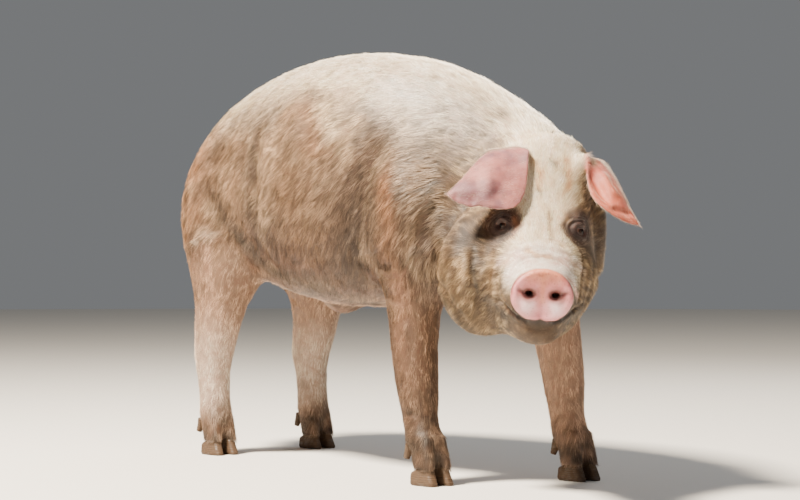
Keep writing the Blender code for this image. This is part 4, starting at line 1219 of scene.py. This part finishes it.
        # The colour attribute: the hide's stains and tones together with painted shade and painted
        # highlights.
        colour = self.mesh.attributes.new("markings_and_painted_light", "FLOAT_COLOR", "POINT")
        rows = np.concatenate([self.colours, np.ones((count, 1))], axis=1)
        colour.data.foreach_set("color", rows.ravel().astype(np.float32))
        wet = self.mesh.attributes.new("moist", "FLOAT", "POINT")
        moist = np.maximum(self.wet["disc"], self.wet["socket"])
        moist = np.maximum(moist, self.wet["mouth"] * 0.8)
        wet.data.foreach_set("value", moist.astype(np.float32))
        bare = self.mesh.attributes.new("bare", "FLOAT", "POINT")
        share = np.maximum.reduce([
            self.wet["disc"], self.wet["EAR_LEFT"], self.wet["EAR_RIGHT"], self.wet["lid"]])
        bare.data.foreach_set("value", share.astype(np.float32))
        shade(self.mesh, smooth=True)


@dataclass(frozen=True)
class Hide:
    """Pig hide: thick pink skin with pores and scurf, matt, and moist on the snout."""

    roughness: float = 0.62
    moist_roughness: float = 0.33
    # Share of brightness left to the skin under the hair: part dirt, part painted shade.
    under_hair: float = 0.50
    pore: float = 1.6 * MM
    wrinkle: float = 3.2 * MM
    speck: float = 7.0 * MM

    def material(self) -> bpy.types.Material:
        """Grown skin, matt and fine-wrinkled, whose snout is moist and slightly glossy."""
        material, tree, shader = new_finish("living_pig_skin_matt", {
            "Subsurface Weight": 0.08,
            "Subsurface Radius": (0.010, 0.004, 0.002),
            "Subsurface Scale": 0.5,
            "Specular IOR Level": 0.4})
        spot = add_node(tree, "ShaderNodeTexCoord").outputs["Object"]
        tone = add_node(tree, "ShaderNodeAttribute", {"attribute_name": "markings_and_painted_light"})
        moist = add_node(tree, "ShaderNodeAttribute", {"attribute_name": "moist"})
        bare = add_node(tree, "ShaderNodeAttribute", {"attribute_name": "bare"})
        blotch = add_node(tree, "ShaderNodeTexNoise", {
            "Scale": 1 / (self.wrinkle * 4), "Detail": 6.0, "Roughness": 0.6}, {"Vector": spot})
        blotch_share = add_node(tree, "ShaderNodeMapRange", {
            "From Min": 0.35, "From Max": 0.68, "To Min": 0.0, "To Max": 0.42},
            {"Value": blotch.outputs["Fac"]})
        flushed = add_node(tree, "ShaderNodeMix", {
            "data_type": "RGBA", "blend_type": "MULTIPLY", 7: (*linear("D99A86"), 1.0)},
            {0: blotch_share.outputs["Result"], 6: tone.outputs["Color"]})
        speck = add_node(tree, "ShaderNodeTexVoronoi", {
            "Scale": 1 / self.speck, "Randomness": 1.0}, {"Vector": spot})
        speck_share = add_node(tree, "ShaderNodeMapRange", {
            "From Min": 0.10, "From Max": 0.20, "To Min": 0.45, "To Max": 0.0},
            {"Value": speck.outputs["Distance"]})
        speckled = add_node(tree, "ShaderNodeMix", {
            "data_type": "RGBA", "blend_type": "MIX", 7: (*linear("7A5A48"), 1.0)},
            {0: speck_share.outputs["Result"], 6: flushed.outputs[2]})
        # Skin under the hair darkened: part dirt, part painted shade.
        shaded = add_node(tree, "ShaderNodeMapRange", {
            "To Min": self.under_hair, "To Max": 1.0}, {"Value": bare.outputs["Fac"]})
        dimmed = add_node(tree, "ShaderNodeVectorMath", {"operation": "SCALE"},
                          {0: speckled.outputs[2], 3: shaded.outputs["Result"]})
        tree.links.new(dimmed.outputs["Vector"], shader.inputs["Base Color"])
        gloss = add_node(tree, "ShaderNodeMapRange", {
            "To Min": self.roughness, "To Max": self.moist_roughness},
            {"Value": moist.outputs["Fac"]})
        tree.links.new(gloss.outputs["Result"], shader.inputs["Roughness"])
        crease = add_node(tree, "ShaderNodeTexVoronoi", {
            "feature": "DISTANCE_TO_EDGE", "Scale": 1 / self.wrinkle}, {"Vector": spot})
        crease_share = add_node(tree, "ShaderNodeMapRange", {
            "From Min": 0.0, "From Max": 0.14, "To Min": 0.0, "To Max": 0.8},
            {"Value": crease.outputs["Distance"]})
        pore = add_node(tree, "ShaderNodeTexNoise", {
            "Scale": 1 / self.pore, "Detail": 3.0}, {"Vector": spot})
        cracked = add_node(tree, "ShaderNodeMath", {"operation": "MULTIPLY_ADD"}, {
            0: crease_share.outputs["Result"], 1: moist.outputs["Fac"],
            2: pore.outputs["Fac"]})
        height = add_node(tree, "ShaderNodeMath", {"operation": "ADD"}, {
            0: cracked.outputs["Value"], 1: blotch.outputs["Fac"]})
        bump = add_node(tree, "ShaderNodeBump", {"Strength": 0.45, "Distance": 0.7 * MM},
                        {"Height": height.outputs["Value"]})
        tree.links.new(bump.outputs["Normal"], shader.inputs["Normal"])
        return material


@dataclass(frozen=True)
class Bristle:
    """White pig bristle: stiff translucent keratin, satin, yellowed and darkened by dirt."""

    roughness: float = 0.48

    def material(self) -> bpy.types.Material:
        """Grown bristle, satin, pale at the tip and the colour of the hide beneath, painted shade
        included.
        """
        material, tree, shader = new_finish("pig_bristle_satin", {
            "Roughness": self.roughness,
            "Specular IOR Level": 0.28,
            "Sheen Weight": 0.04,
            "Sheen Roughness": 0.5})
        tone = add_node(tree, "ShaderNodeAttribute", {"attribute_name": "markings_and_painted_light"})
        spot = add_node(tree, "ShaderNodeTexCoord").outputs["Object"]
        clump = add_node(tree, "ShaderNodeTexNoise", {
            "Scale": 1 / (6 * MM), "Detail": 2.0}, {"Vector": spot})
        shade = add_node(tree, "ShaderNodeMapRange", {
            "From Min": 0.3, "From Max": 0.7, "To Min": 0.88, "To Max": 1.10},
            {"Value": clump.outputs["Fac"]})
        scaled = add_node(tree, "ShaderNodeVectorMath", {"operation": "SCALE"},
                          {0: tone.outputs["Color"], 3: shade.outputs["Result"]})
        tree.links.new(scaled.outputs["Vector"], shader.inputs["Base Color"])
        return material


@dataclass(frozen=True)
class HairKind:
    """How the hair of one region grows: its size, rise, density and how pale it is."""

    length: float
    width: float
    lift: float
    density: float
    paleness: float


HAIR = {
    Region.BODY: HairKind(20 * MM, 1.10 * MM, 0.12, 1.0, 0.05),
    Region.NECK: HairKind(22 * MM, 1.10 * MM, 0.15, 1.05, 0.06),
    Region.HEAD: HairKind(11 * MM, 0.75 * MM, 0.20, 2.2, 0.05),
    Region.EAR_RIGHT: HairKind(8 * MM, 0.34 * MM, 0.16, 2.0, 0.18),
    Region.EAR_LEFT: HairKind(8 * MM, 0.34 * MM, 0.16, 2.0, 0.18),
    Region.FORELEG: HairKind(13 * MM, 0.80 * MM, 0.15, 1.5, 0.05),
    Region.HINDLEG: HairKind(13 * MM, 0.80 * MM, 0.15, 1.3, 0.08),
    Region.TAIL: HairKind(12 * MM, 0.80 * MM, 0.25, 1.5, 0.20),
}


class Coat:
    """The bristles: closed tapered blades that lie along the skin, in pieces."""

    blades: int = 350000
    piece_blades: int = 44000
    patch: float = 0.003
    headroom: float = 12 * MM
    steepest: float = 0.8
    clump: float = 4.5 * MM
    smear: float = 2.8 * MM
    root_depth: float = 0.6 * MM
    seed: int = 7

    def __init__(self, skin: Skin) -> None:
        """Keep the skin that the coat grows on.

        Args:
            skin: The finished skin.
        """
        self.skin = skin
        self.chance = np.random.default_rng(self.seed)
        self.count = self.blades

    def template(self) -> tuple[np.ndarray, np.ndarray]:
        """One blade of unit size, along x, as points and triangles with faces outwards."""
        bm = bmesh.new()
        bmesh.ops.create_cone(
            bm, cap_ends=True, segments=3, radius1=0.5, radius2=0.0, depth=1.0)
        bm.transform(Matrix.Rotation(math.pi / 2, 4, "Y") @ Matrix.Rotation(math.pi, 4, "Z"))
        bmesh.ops.translate(bm, verts=bm.verts, vec=(0.5, 0, 0))
        bmesh.ops.recalc_face_normals(bm, faces=bm.faces)
        points = np.array([list(vert.co) for vert in bm.verts])
        faces = np.array([[vert.index for vert in face.verts] for face in bm.faces])
        bm.free()
        return points, faces

    def roots(self) -> dict[str, np.ndarray]:
        """Scatter roots over the skin by each region's density, with what they take from it."""
        skin = self.skin
        mesh = skin.mesh
        mesh.calc_loop_triangles()
        corners = read_rows(mesh.loop_triangles, "vertices", 3, np.int64)
        loops = read_rows(mesh.loop_triangles, "loops", 3, np.int64)
        chart = read_rows(mesh.uv_layers["OFBake"].uv, "vector", 2)
        start, second, third = (skin.points[corners[:, step]] for step in range(3))
        area = np.linalg.norm(np.cross(second - start, third - start), axis=1) / 2
        density = self.density()[corners].mean(axis=1)
        weight = np.cumsum(area * density)
        pick = np.searchsorted(weight, (np.arange(self.count) + self.chance.random(self.count))
                               / self.count * weight[-1])
        pick = np.minimum(pick, len(corners) - 1)
        first, other = self.chance.random((2, self.count))
        root = np.sqrt(first)
        share = np.stack([1 - root, root * (1 - other), root * other], axis=1)[:, :, None]

        def mean(values: np.ndarray, index: np.ndarray) -> np.ndarray:
            """Values at the roots, between the corners of their triangles."""
            return np.sum(values[index[pick]] * share, axis=1)

        return {
            "point": mean(skin.points, corners), "normal": unit(mean(skin.normals, corners)),
            "flow": mean(skin.flow, corners), "colour": mean(skin.colours, corners),
            "chart": mean(chart, loops), "kind": skin.regions[corners[pick, 0]],
        }

    def density(self) -> np.ndarray:
        """How dense the hair stands at each vertex: bare on disc, lids and mouth."""
        skin = self.skin
        marks = skin.wet
        dense = np.array([HAIR[Region(kind)].density for kind in skin.regions])
        local = in_frame(skin.points, skin.disc)
        reach = np.linalg.norm(local[:, 1:], axis=1)
        chin = smooth_step(-0.050, -0.058, local[:, 2])
        dense *= np.maximum.reduce([
            smooth_step(-0.014, -0.034, local[:, 0]), smooth_step(0.07, 0.09, reach), chin])
        dense *= 1 - marks["disc"]
        dense *= smooth_step(0.0145, 0.0230, skin.eye_distance(skin.points))
        dense *= 1 - marks["mouth"]
        dense *= 1 + 2.5 * self.fringe(skin.normals, skin.regions)
        return np.maximum(dense, 0)

    def fringe(self, normals: np.ndarray, kinds: np.ndarray) -> np.ndarray:
        """How much a place lies on an ear's edge, where the hair stands as a fringe."""
        ears = among(kinds, EARS)
        facing = np.abs(normals @ np.array(self.skin.marks.towards()))
        return ears * smooth_step(0.38, 0.12, facing)

    def sizes(self, grown: dict[str, np.ndarray]) -> tuple[np.ndarray, ...]:
        """Length, width, lift and paleness of each bristle, by its region and place.

        Args:
            grown: What the roots take from the skin.

        Returns:
            The four measures.
        """
        points = grown["point"]
        kinds = [HAIR[Region(kind)] for kind in range(len(Region))]
        table = np.array([[kind.length, kind.width, kind.lift, kind.paleness] for kind in kinds])
        length, width, lift, pale = table[grown["kind"]].T
        local = in_frame(points, self.skin.head)
        muzzle = smooth_step(0.02, 0.14, local[:, 0]) * (grown["kind"] == Region.HEAD.value)
        eyes = smooth_step(0.055, 0.020, self.skin.eye_distance(points))
        crest = smooth_step(0.85, 0.97, grown["normal"][:, 2]) * smooth_step(
            0.20, 0.42, points[:, 0]) * (grown["kind"] <= Region.NECK.value)
        edge = self.fringe(grown["normal"], grown["kind"])
        length = length * (1 - 0.50 * muzzle) * (1 - 0.4 * eyes)
        length = length * (1 + 0.35 * crest) * (1 + 1.1 * edge)
        length = length * (0.72 + 0.5 * self.chance.random(self.count))
        width = width * (0.75 + 0.5 * self.chance.random(self.count))
        return length, width, lift * (1 + 0.9 * crest), pale + 0.30 * edge

    def lay(self, grown: dict[str, np.ndarray], length: np.ndarray,
            lift: np.ndarray) -> tuple[np.ndarray, np.ndarray, np.ndarray]:
        """Lay the bristles along the skin, swirled and in rows, clear of what rises ahead.

        Args:
            grown: What the roots take from the skin.
            length: The bristles' lengths.
            lift: How far their regions let them rise.

        Returns:
            The directions along and across each bristle, and its place in the rows.
        """
        points = grown["point"]
        up = grown["normal"]
        swirl = (soft_noise(points, 0.030, 31) * 0.28 + soft_noise(points, 0.011, 32) * 0.30
                 + self.chance.normal(0, 0.10, self.count))
        flow = unit(grown["flow"] - up * np.sum(grown["flow"] * up, axis=1, keepdims=True))
        flow = unit(flow + np.cross(up, flow) * swirl[:, None])
        rows = self.rows(points, flow, np.where(grown["kind"] == Region.HEAD.value, 1.0, 0.85))
        spread = self.chance.normal(0, 0.03, self.count)
        lift = lift * (1 + 0.5 * soft_noise(points, 0.014, 33)) + spread + 0.05 * rows
        lift = np.maximum(lift, self.rise(points, up, flow, length) + 0.06)
        along = unit(flow + up * np.maximum(lift, 0.03)[:, None])
        return along, unit(np.cross(up, along)), rows

    def tints(self, grown: dict[str, np.ndarray], pale: np.ndarray,
              rows: np.ndarray) -> np.ndarray:
        """Each bristle's colour: the hide's own, paler, and varied by row and by chance.

        Args:
            grown: What the roots take from the skin.
            pale: How far each bristle goes towards white.
            rows: Its place in the rows of hair.

        Returns:
            Linear colours.
        """
        points = grown["point"]
        colour = grown["colour"]
        shade_share = (1 + 0.16 * soft_noise(points, 0.008, 34)
                       + self.chance.normal(0, 0.15, self.count))
        # How dark the hide's colour is here, from dirt and from painted shade.
        dirt_and_shade = smooth_step(0.50, 0.18, colour.mean(axis=1))
        shade_share += rows * (0.36 + 0.34 * dirt_and_shade) * smooth_step(0.5, 0.2, pale)
        speckle = soft_noise(points, 0.014, 35) + self.chance.normal(0, 0.3, self.count)
        dark = smooth_step(0.20, 0.70, speckle)
        bright = colour + (np.array(linear("FBF1DF")) - colour) * pale[:, None]
        bright = bright * np.clip(shade_share, 0.45, 1.45)[:, None]
        return bright * (1 - 0.35 * dark[:, None])

    def grow(self, material: bpy.types.Material) -> None:
        """Grow the coat in pieces, in order of region so that each piece stays together.

        Args:
            material: The bristles' finish.
        """
        grown = self.roots()
        length, width, lift, pale = self.sizes(grown)
        along, across, rows = self.lay(grown, length, lift)
        above = np.cross(along, across)
        bright = self.tints(grown, pale, rows)
        blade, faces = self.template()
        order = np.argsort(grown["kind"], kind="stable")
        made = 0
        for number, start in enumerate(range(0, self.count, self.piece_blades)):
            chosen = order[start:start + self.piece_blades]
            base = grown["point"][chosen] - grown["normal"][chosen] * self.root_depth
            grid = (
                base[:, None, :]
                + blade[None, :, 0:1] * (along[chosen] * length[chosen, None])[:, None, :]
                + blade[None, :, 1:2] * (across[chosen] * width[chosen, None])[:, None, :]
                + blade[None, :, 2:3] * (above[chosen] * width[chosen, None] * 0.6)[:, None, :])
            tint = bright[chosen][:, None, :] * (0.68 + 0.80 * blade[None, :, 0:1])
            made += self.piece(number, grid, faces, tint, grown["chart"][chosen], blade, material)
        LOG.info("coat: %d bristles", made)

    def rows(self, points: np.ndarray, flow: np.ndarray, fine: np.ndarray) -> np.ndarray:
        """Clumped rows of hair: a fine noise smeared along the lie of the hair.

        Args:
            points: The roots.
            flow: The bristles' directions along the skin.
            fine: How much finer than the widest rows each root's row is.

        Returns:
            A value from -1 between the rows to 1 on them.
        """
        total = np.zeros(len(points))
        for step in range(-3, 4):
            spot = (points + flow * (step * self.smear)) * fine[:, None]
            total += soft_noise(spot, self.clump, 36)
        return np.clip(total / total.std() / 1.8, -1, 1)

    def rise(self, points: np.ndarray, up: np.ndarray, flow: np.ndarray,
             length: np.ndarray) -> np.ndarray:
        """How steeply each bristle has to climb to clear the skin along its whole length.

        Args:
            points: The roots.
            up: The skin's normals there.
            flow: The bristles' directions along the skin.
            length: Their lengths.

        Returns:
            The climb for each metre of length.
        """
        cast = self.skin.search_tree().ray_cast
        steepest = np.full(len(points), -1.0)
        for share in (0.35, 0.65, 0.95):
            run = length * share
            starts = points + flow * run[:, None] + up * self.headroom
            heights = np.zeros(len(points))
            for index, (start, way) in enumerate(zip(starts, -up)):
                far = cast(Vector(start), Vector(way), 2 * self.headroom)[3]
                heights[index] = -self.headroom if far is None else self.headroom - far
            steepest = np.maximum(steepest, heights / run)
        return np.minimum(steepest, self.steepest)

    def piece(self, number: int, grid: np.ndarray, faces: np.ndarray, tint: np.ndarray,
              chart: np.ndarray, blade: np.ndarray, material: bpy.types.Material) -> int:
        """Make one piece of coat from stamped blades.

        Args:
            number: The piece's number.
            grid: Points of each blade.
            faces: The blade's triangles.
            tint: Colour of each point.
            chart: Each root's place on the skin's chart.
            blade: The unit blade's points.
            material: The bristles' finish.

        Returns:
            How many blades the piece has.
        """
        count, size = grid.shape[:2]
        corners = (faces[None, :, :] + (np.arange(count) * size)[:, None, None]).reshape(-1)
        mesh = bpy.data.meshes.new(f"coat_{number:02d}")
        mesh.vertices.add(count * size)
        mesh.vertices.foreach_set("co", grid.reshape(-1).astype(np.float32))
        mesh.loops.add(len(corners))
        mesh.loops.foreach_set("vertex_index", corners.astype(np.int32))
        mesh.polygons.add(len(corners) // 3)
        mesh.polygons.foreach_set("loop_start", np.arange(0, len(corners), 3, dtype=np.int32))
        mesh.update(calc_edges=True)
        colour = mesh.attributes.new("markings_and_painted_light", "FLOAT_COLOR", "POINT")
        rows = np.concatenate([tint.reshape(-1, 3), np.ones((count * size, 1))], axis=1)
        colour.data.foreach_set("color", np.clip(rows, 0, 1).ravel().astype(np.float32))
        layer = mesh.uv_layers.new(name="OFBake")
        spread = np.stack([blade[:, 1] + 0.5, blade[:, 0]], axis=1) * self.patch
        spots = (chart[:, None, :] + spread[None, :, :]).reshape(-1, 2)
        layer.uv.foreach_set("vector", np.clip(spots[corners], 0, 1).ravel().astype(np.float32))
        shade(mesh, smooth=False)
        new_piece(f"coat_{number:02d}", mesh, material)
        return count


@dataclass(frozen=True)
class WetEye:
    """A pig's eye: dark brown iris round a black pupil, under a wet clear cornea."""

    pupil: float = 3.4 * MM
    iris: float = 7.2 * MM
    white: float = 8.6 * MM

    def material(self, front: Vector, name: str) -> bpy.types.Material:
        """Living eye, wet and mirror-glossy, dark brown with a black pupil.

        Args:
            front: The eye's foremost point.
            name: Which eye it is.

        Returns:
            The material.
        """
        material, tree, shader = new_finish("living_eye_wet_" + name, {
            "Roughness": 0.06,
            "IOR": 1.336,
            "Specular IOR Level": 0.22,
            "Coat Weight": 0.05,
            "Coat Roughness": 0.03})
        spot = add_node(tree, "ShaderNodeTexCoord").outputs["Object"]
        gap = add_node(tree, "ShaderNodeVectorMath", {"operation": "DISTANCE", 1: tuple(front)},
                       {0: spot})
        reach = add_node(tree, "ShaderNodeMapRange", {
            "From Min": 0.0, "From Max": 0.012}, {"Value": gap.outputs["Value"]})
        ramp = add_node(tree, "ShaderNodeValToRGB", {}, {"Fac": reach.outputs["Result"]})
        stops = ramp.color_ramp.elements
        stops[0].position = self.pupil / 0.012 * 0.9
        stops[0].color = (*linear("050404"), 1)
        stops[1].position = self.pupil / 0.012 * 1.1
        stops[1].color = (*linear("2A170E"), 1)
        for place, colour in ((self.iris, "1E100B"), (self.white, "5E4238")):
            stop = stops.new(place / 0.012)
            stop.color = (*linear(colour), 1)
        tree.links.new(ramp.outputs["Color"], shader.inputs["Base Color"])
        return material


@dataclass(frozen=True)
class LidSkin:
    """Lid rim: thin hairless skin, dark pink-brown, moist along its edge."""

    def material(self) -> bpy.types.Material:
        """Living lid skin, dark pink-brown, satin and finely creased."""
        material, tree, shader = new_finish("living_lid_skin_moist", {
            "Roughness": 0.34})
        spot = add_node(tree, "ShaderNodeTexCoord").outputs["Object"]
        noise = add_node(tree, "ShaderNodeTexNoise", {"Scale": 1 / (3 * MM), "Detail": 3.0},
                         {"Vector": spot})
        ramp = add_node(tree, "ShaderNodeValToRGB", {}, {"Fac": noise.outputs["Fac"]})
        ramp.color_ramp.elements[0].position = 0.35
        ramp.color_ramp.elements[0].color = (*linear("271815"), 1)
        ramp.color_ramp.elements[1].position = 0.7
        ramp.color_ramp.elements[1].color = (*linear("4A2E28"), 1)
        bump = add_node(tree, "ShaderNodeBump", {"Strength": 0.4, "Distance": 0.4 * MM},
                        {"Height": noise.outputs["Fac"]})
        tree.links.new(ramp.outputs["Color"], shader.inputs["Base Color"])
        tree.links.new(bump.outputs["Normal"], shader.inputs["Normal"])
        return material


@dataclass
class Eye:
    """One eye: the ball with its cornea, and two lid rims round the opening."""

    marks: Landmarks
    side: int
    cornea_bulge: float = 1.0 * MM
    cornea_reach: float = 7.0 * MM
    opening: tuple = (10.4 * MM, 5.6 * MM)
    slant: float = math.radians(-8.0)
    rim: float = 1.3 * MM

    @property
    def name(self) -> str:
        """The side's word."""
        return "left" if self.side > 0 else "right"

    def ball(self, finish: WetEye) -> bpy.types.Object:
        """The eyeball, with the cornea raised from its front.

        Args:
            finish: The eye's finish.

        Returns:
            The piece.
        """
        place = self.marks.eye(self.side)
        bm = bmesh.new()
        bmesh.ops.create_uvsphere(
            bm, u_segments=40, v_segments=28, radius=self.marks.eye_radius - 0.1 * MM)
        bm.transform(Matrix.Rotation(math.pi / 2, 4, "Y"))
        for vert in bm.verts:
            off = math.hypot(vert.co.y, vert.co.z)
            if vert.co.x > 0 and off < self.cornea_reach:
                vert.co.x += self.cornea_bulge * (1 - (off / self.cornea_reach) ** 2)
        bm.transform(place)
        for face in bm.faces:
            face.smooth = True
        mesh = bpy.data.meshes.new("eyeball_" + self.name)
        bm.to_mesh(mesh)
        bm.free()
        front = place @ Vector((self.marks.eye_radius + self.cornea_bulge, 0, 0))
        piece = new_piece(
            "eyeball_" + self.name, mesh, finish.material(front, self.name))
        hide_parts("eye_" + self.name)
        return piece

    def lids(self, finish: bpy.types.Material) -> bpy.types.Object:
        """A soft rim round the almond opening, thicker above.

        Args:
            finish: The lid's finish.

        Returns:
            The piece.
        """
        curve = bpy.data.curves.new("lids", "CURVE")
        curve.dimensions = "3D"
        curve.bevel_depth = self.rim
        curve.bevel_resolution = 4
        spline = curve.splines.new("POLY")
        steps = 40
        spline.points.add(steps - 1)
        spline.use_cyclic_u = True
        radius = self.marks.eye_radius + 0.5 * MM
        for step, spot in enumerate(spline.points):
            turn = math.tau * step / steps
            across = self.opening[0] * math.cos(turn) * 1.06
            rise = self.opening[1] * math.sin(turn) * 1.04
            depth = math.sqrt(max(radius ** 2 - across ** 2 - rise ** 2, 1e-9))
            spot.co = (depth, across, rise, 1.0)
            spot.radius = 1.15 if rise > 0 else 0.85
        guide = placed("lids", curve)
        mesh = applied(guide)
        mesh.transform(self.marks.eye(self.side) @ Matrix.Rotation(
            self.slant * self.side, 4, "X"))
        shade(mesh, smooth=True)
        return new_piece("lid_rim_" + self.name, mesh, finish)


@dataclass(frozen=True)
class Horn:
    """Claw horn: grown keratin, grey-brown, ridged by growth and caked with dry mud."""

    ridge: float = 4.0 * MM
    grit: float = 2.5 * MM

    def material(self) -> bpy.types.Material:
        """Grown horn, worn satin, with growth rings and dried mud in them."""
        material, tree, shader = new_finish("claw_horn_worn_muddy")
        spot = add_node(tree, "ShaderNodeTexCoord").outputs["Object"]
        ring = add_node(tree, "ShaderNodeTexWave", {
            "wave_type": "BANDS", "bands_direction": "Z", "Scale": 1 / (self.ridge * 3.18),
            "Distortion": 1.2, "Detail": 3.0, "Detail Scale": 2.0}, {"Vector": spot})
        horn = add_node(tree, "ShaderNodeValToRGB", {}, {"Fac": ring.outputs["Fac"]})
        horn.color_ramp.elements[0].color = (*linear("3C2C20"), 1)
        horn.color_ramp.elements[1].color = (*linear("58442F"), 1)
        grit = add_node(tree, "ShaderNodeTexNoise", {
            "Scale": 1 / (self.grit * 4), "Detail": 6.0, "Roughness": 0.65}, {"Vector": spot})
        share = add_node(tree, "ShaderNodeMapRange", {
            "From Min": 0.40, "From Max": 0.54}, {"Value": grit.outputs["Fac"]})
        tone = add_node(tree, "ShaderNodeMix", {
            "data_type": "RGBA", 7: (*linear("4C3826"), 1.0)},
            {0: share.outputs["Result"], 6: horn.outputs["Color"]})
        dull = add_node(tree, "ShaderNodeMapRange", {"To Min": 0.42, "To Max": 0.85},
                        {"Value": share.outputs["Result"]})
        height = add_node(tree, "ShaderNodeMath", {"operation": "ADD"},
                          {0: ring.outputs["Fac"], 1: grit.outputs["Fac"]})
        bump = add_node(tree, "ShaderNodeBump", {"Strength": 0.4, "Distance": 0.6 * MM},
                        {"Height": height.outputs["Value"]})
        tree.links.new(tone.outputs[2], shader.inputs["Base Color"])
        tree.links.new(dull.outputs["Result"], shader.inputs["Roughness"])
        tree.links.new(bump.outputs["Normal"], shader.inputs["Normal"])
        return material


@dataclass
class Feet:
    """The sixteen claws and dewclaws, rounded and worn from their solids."""

    voxel: float = 1.8 * MM
    nodes: list = field(default_factory=lambda: sorted(
        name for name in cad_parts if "claw" in name))

    def build(self, finish: bpy.types.Material) -> None:
        """Replace each claw solid by a worn copy of it.

        Args:
            finish: The horn's finish.
        """
        for node in self.nodes:
            bm = merged_copy(node)
            mesh = bpy.data.meshes.new(node)
            bm.to_mesh(mesh)
            bm.free()
            thing = placed(node, mesh)
            remesh = thing.modifiers.new("round", "REMESH")
            remesh.mode = "VOXEL"
            remesh.voxel_size = self.voxel if "dew" not in node else self.voxel * 0.7
            smooth = thing.modifiers.new("wear", "SMOOTH")
            smooth.factor = 0.5
            smooth.iterations = 5
            worn = applied(thing)
            points = read_rows(worn.vertices, "co", 3)
            normals = read_rows(worn.vertex_normals, "vector", 3)
            wall = 1 - np.abs(normals[:, 2])
            ring = np.sin(points[:, 2] / (0.9 * MM) + 2 * soft_noise(points, 0.02, 41))
            move = wall * (0.25 * MM * ring) + 0.5 * MM * soft_noise(points, 0.008, 42) * wall
            points = points + normals * move[:, None]
            if "dew" not in node:
                points[:, 2] = np.where(points[:, 2] < 1.2 * MM, 0.0, points[:, 2])
            worn.vertices.foreach_set("co", points.ravel())
            shade(worn, smooth=True)
            piece = new_piece("worn_" + node, worn, finish)
            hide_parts(node)


@dataclass(frozen=True)
class StudioFloor:
    """A plain pale floor, painted matt."""

    colour: str = "D9D6D0"

    def material(self) -> bpy.types.Material:
        """Matt floor paint, pale warm grey."""
        material, _, shader = new_finish("floor_paint_matt", {
            "Base Color": (*linear(self.colour), 1),
            "Roughness": 0.9})
        return material


@dataclass
class Studio:
    """The floor, the soft lights and the photograph's camera."""

    marks: Landmarks
    floor_radius: float = 14.0
    sensor: float = 36.0

    def floor(self) -> None:
        """Lay the floor."""
        bm = bmesh.new()
        bmesh.ops.create_circle(bm, cap_ends=True, segments=64, radius=self.floor_radius)
        mesh = bpy.data.meshes.new("floor")
        bm.to_mesh(mesh)
        bm.free()
        mesh.materials.append(StudioFloor().material())
        thing = placed("floor", mesh)

    def light(self, name: str, place: tuple, aim: tuple, size: float, power: float,
              colour: str) -> None:
        """Hang one square soft light.

        Args:
            name: The light's name.
            place: Where it hangs.
            aim: What it looks at.
            size: Its side.
            power: Its power in watts.
            colour: Its colour.
        """
        lamp = bpy.data.lights.new(name, "AREA")
        lamp.shape = "SQUARE"
        lamp.size = size
        lamp.energy = power
        lamp.color = linear(colour)
        thing = placed(name, lamp)
        thing.location = place
        thing.rotation_euler = (Vector(aim) - Vector(place)).to_track_quat("-Z", "Y").to_euler()

    def lights(self) -> None:
        """A high key from the photograph's left, a wide fill and a soft rim."""
        towards = self.marks.towards()
        right = Vector((math.cos(self.marks.view_azimuth), math.sin(self.marks.view_azimuth), 0))
        key = towards * 1.3 - right * 2.1 + Vector((0, 0, 4.3))
        fill = towards * 3.0 + right * 3.0 + Vector((0, 0, 1.8))
        rim = -towards * 2.6 + right * 1.2 + Vector((0, 0, 3.0))
        self.light("key", tuple(key), (0, 0, 0.4), 0.8, 1450.0, "FFF0DB")
        self.light("fill", tuple(fill), (0, 0, 0.4), 3.0, 12.0, "E9F0FF")
        self.light("rim", tuple(rim), (0, 0, 0.5), 2.0, 60.0, "FFFFFF")
        world = bpy.data.worlds.new("studio")
        world.use_nodes = True
        world.node_tree.nodes["Background"].inputs["Color"].default_value = (
            *linear("E6E9EC"), 1)
        world.node_tree.nodes["Background"].inputs["Strength"].default_value = 0.23
        bpy.context.scene.world = world

    def camera(self) -> None:
        """Set the photograph's camera."""
        lens = bpy.data.cameras.new("photo_camera")
        width, height = self.marks.photo_size
        lens.sensor_width = self.sensor
        lens.lens = self.marks.focal_pixels / width * self.sensor
        lens.shift_x = (width / 2 - self.marks.centre_pixel[0]) / width
        lens.shift_y = (self.marks.centre_pixel[1] - height / 2) / width
        lens.clip_end = 100.0
        thing = placed("photo_camera", lens)
        thing.location = self.marks.camera_place()
        thing.rotation_euler = (math.pi / 2, 0, self.marks.view_azimuth)
        bpy.context.scene.camera = thing


def main() -> None:
    """Build the pig and its studio, and report each piece."""
    logging.basicConfig(level=logging.INFO, format="%(message)s")
    marks = Landmarks()
    studio = Studio(marks)
    studio.camera()
    studio.floor()
    studio.lights()
    skin = Skin(marks)
    hide = new_piece("hide", skin.mesh, Hide().material())
    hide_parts(*FLESH)
    Coat(skin).grow(Bristle().material())
    lid_finish = LidSkin().material()
    for side in (-1, 1):
        eye = Eye(marks, side)
        eye.ball(WetEye())
        eye.lids(lid_finish)
    Feet().build(Horn().material())


if __name__ == "__main__":
    main()
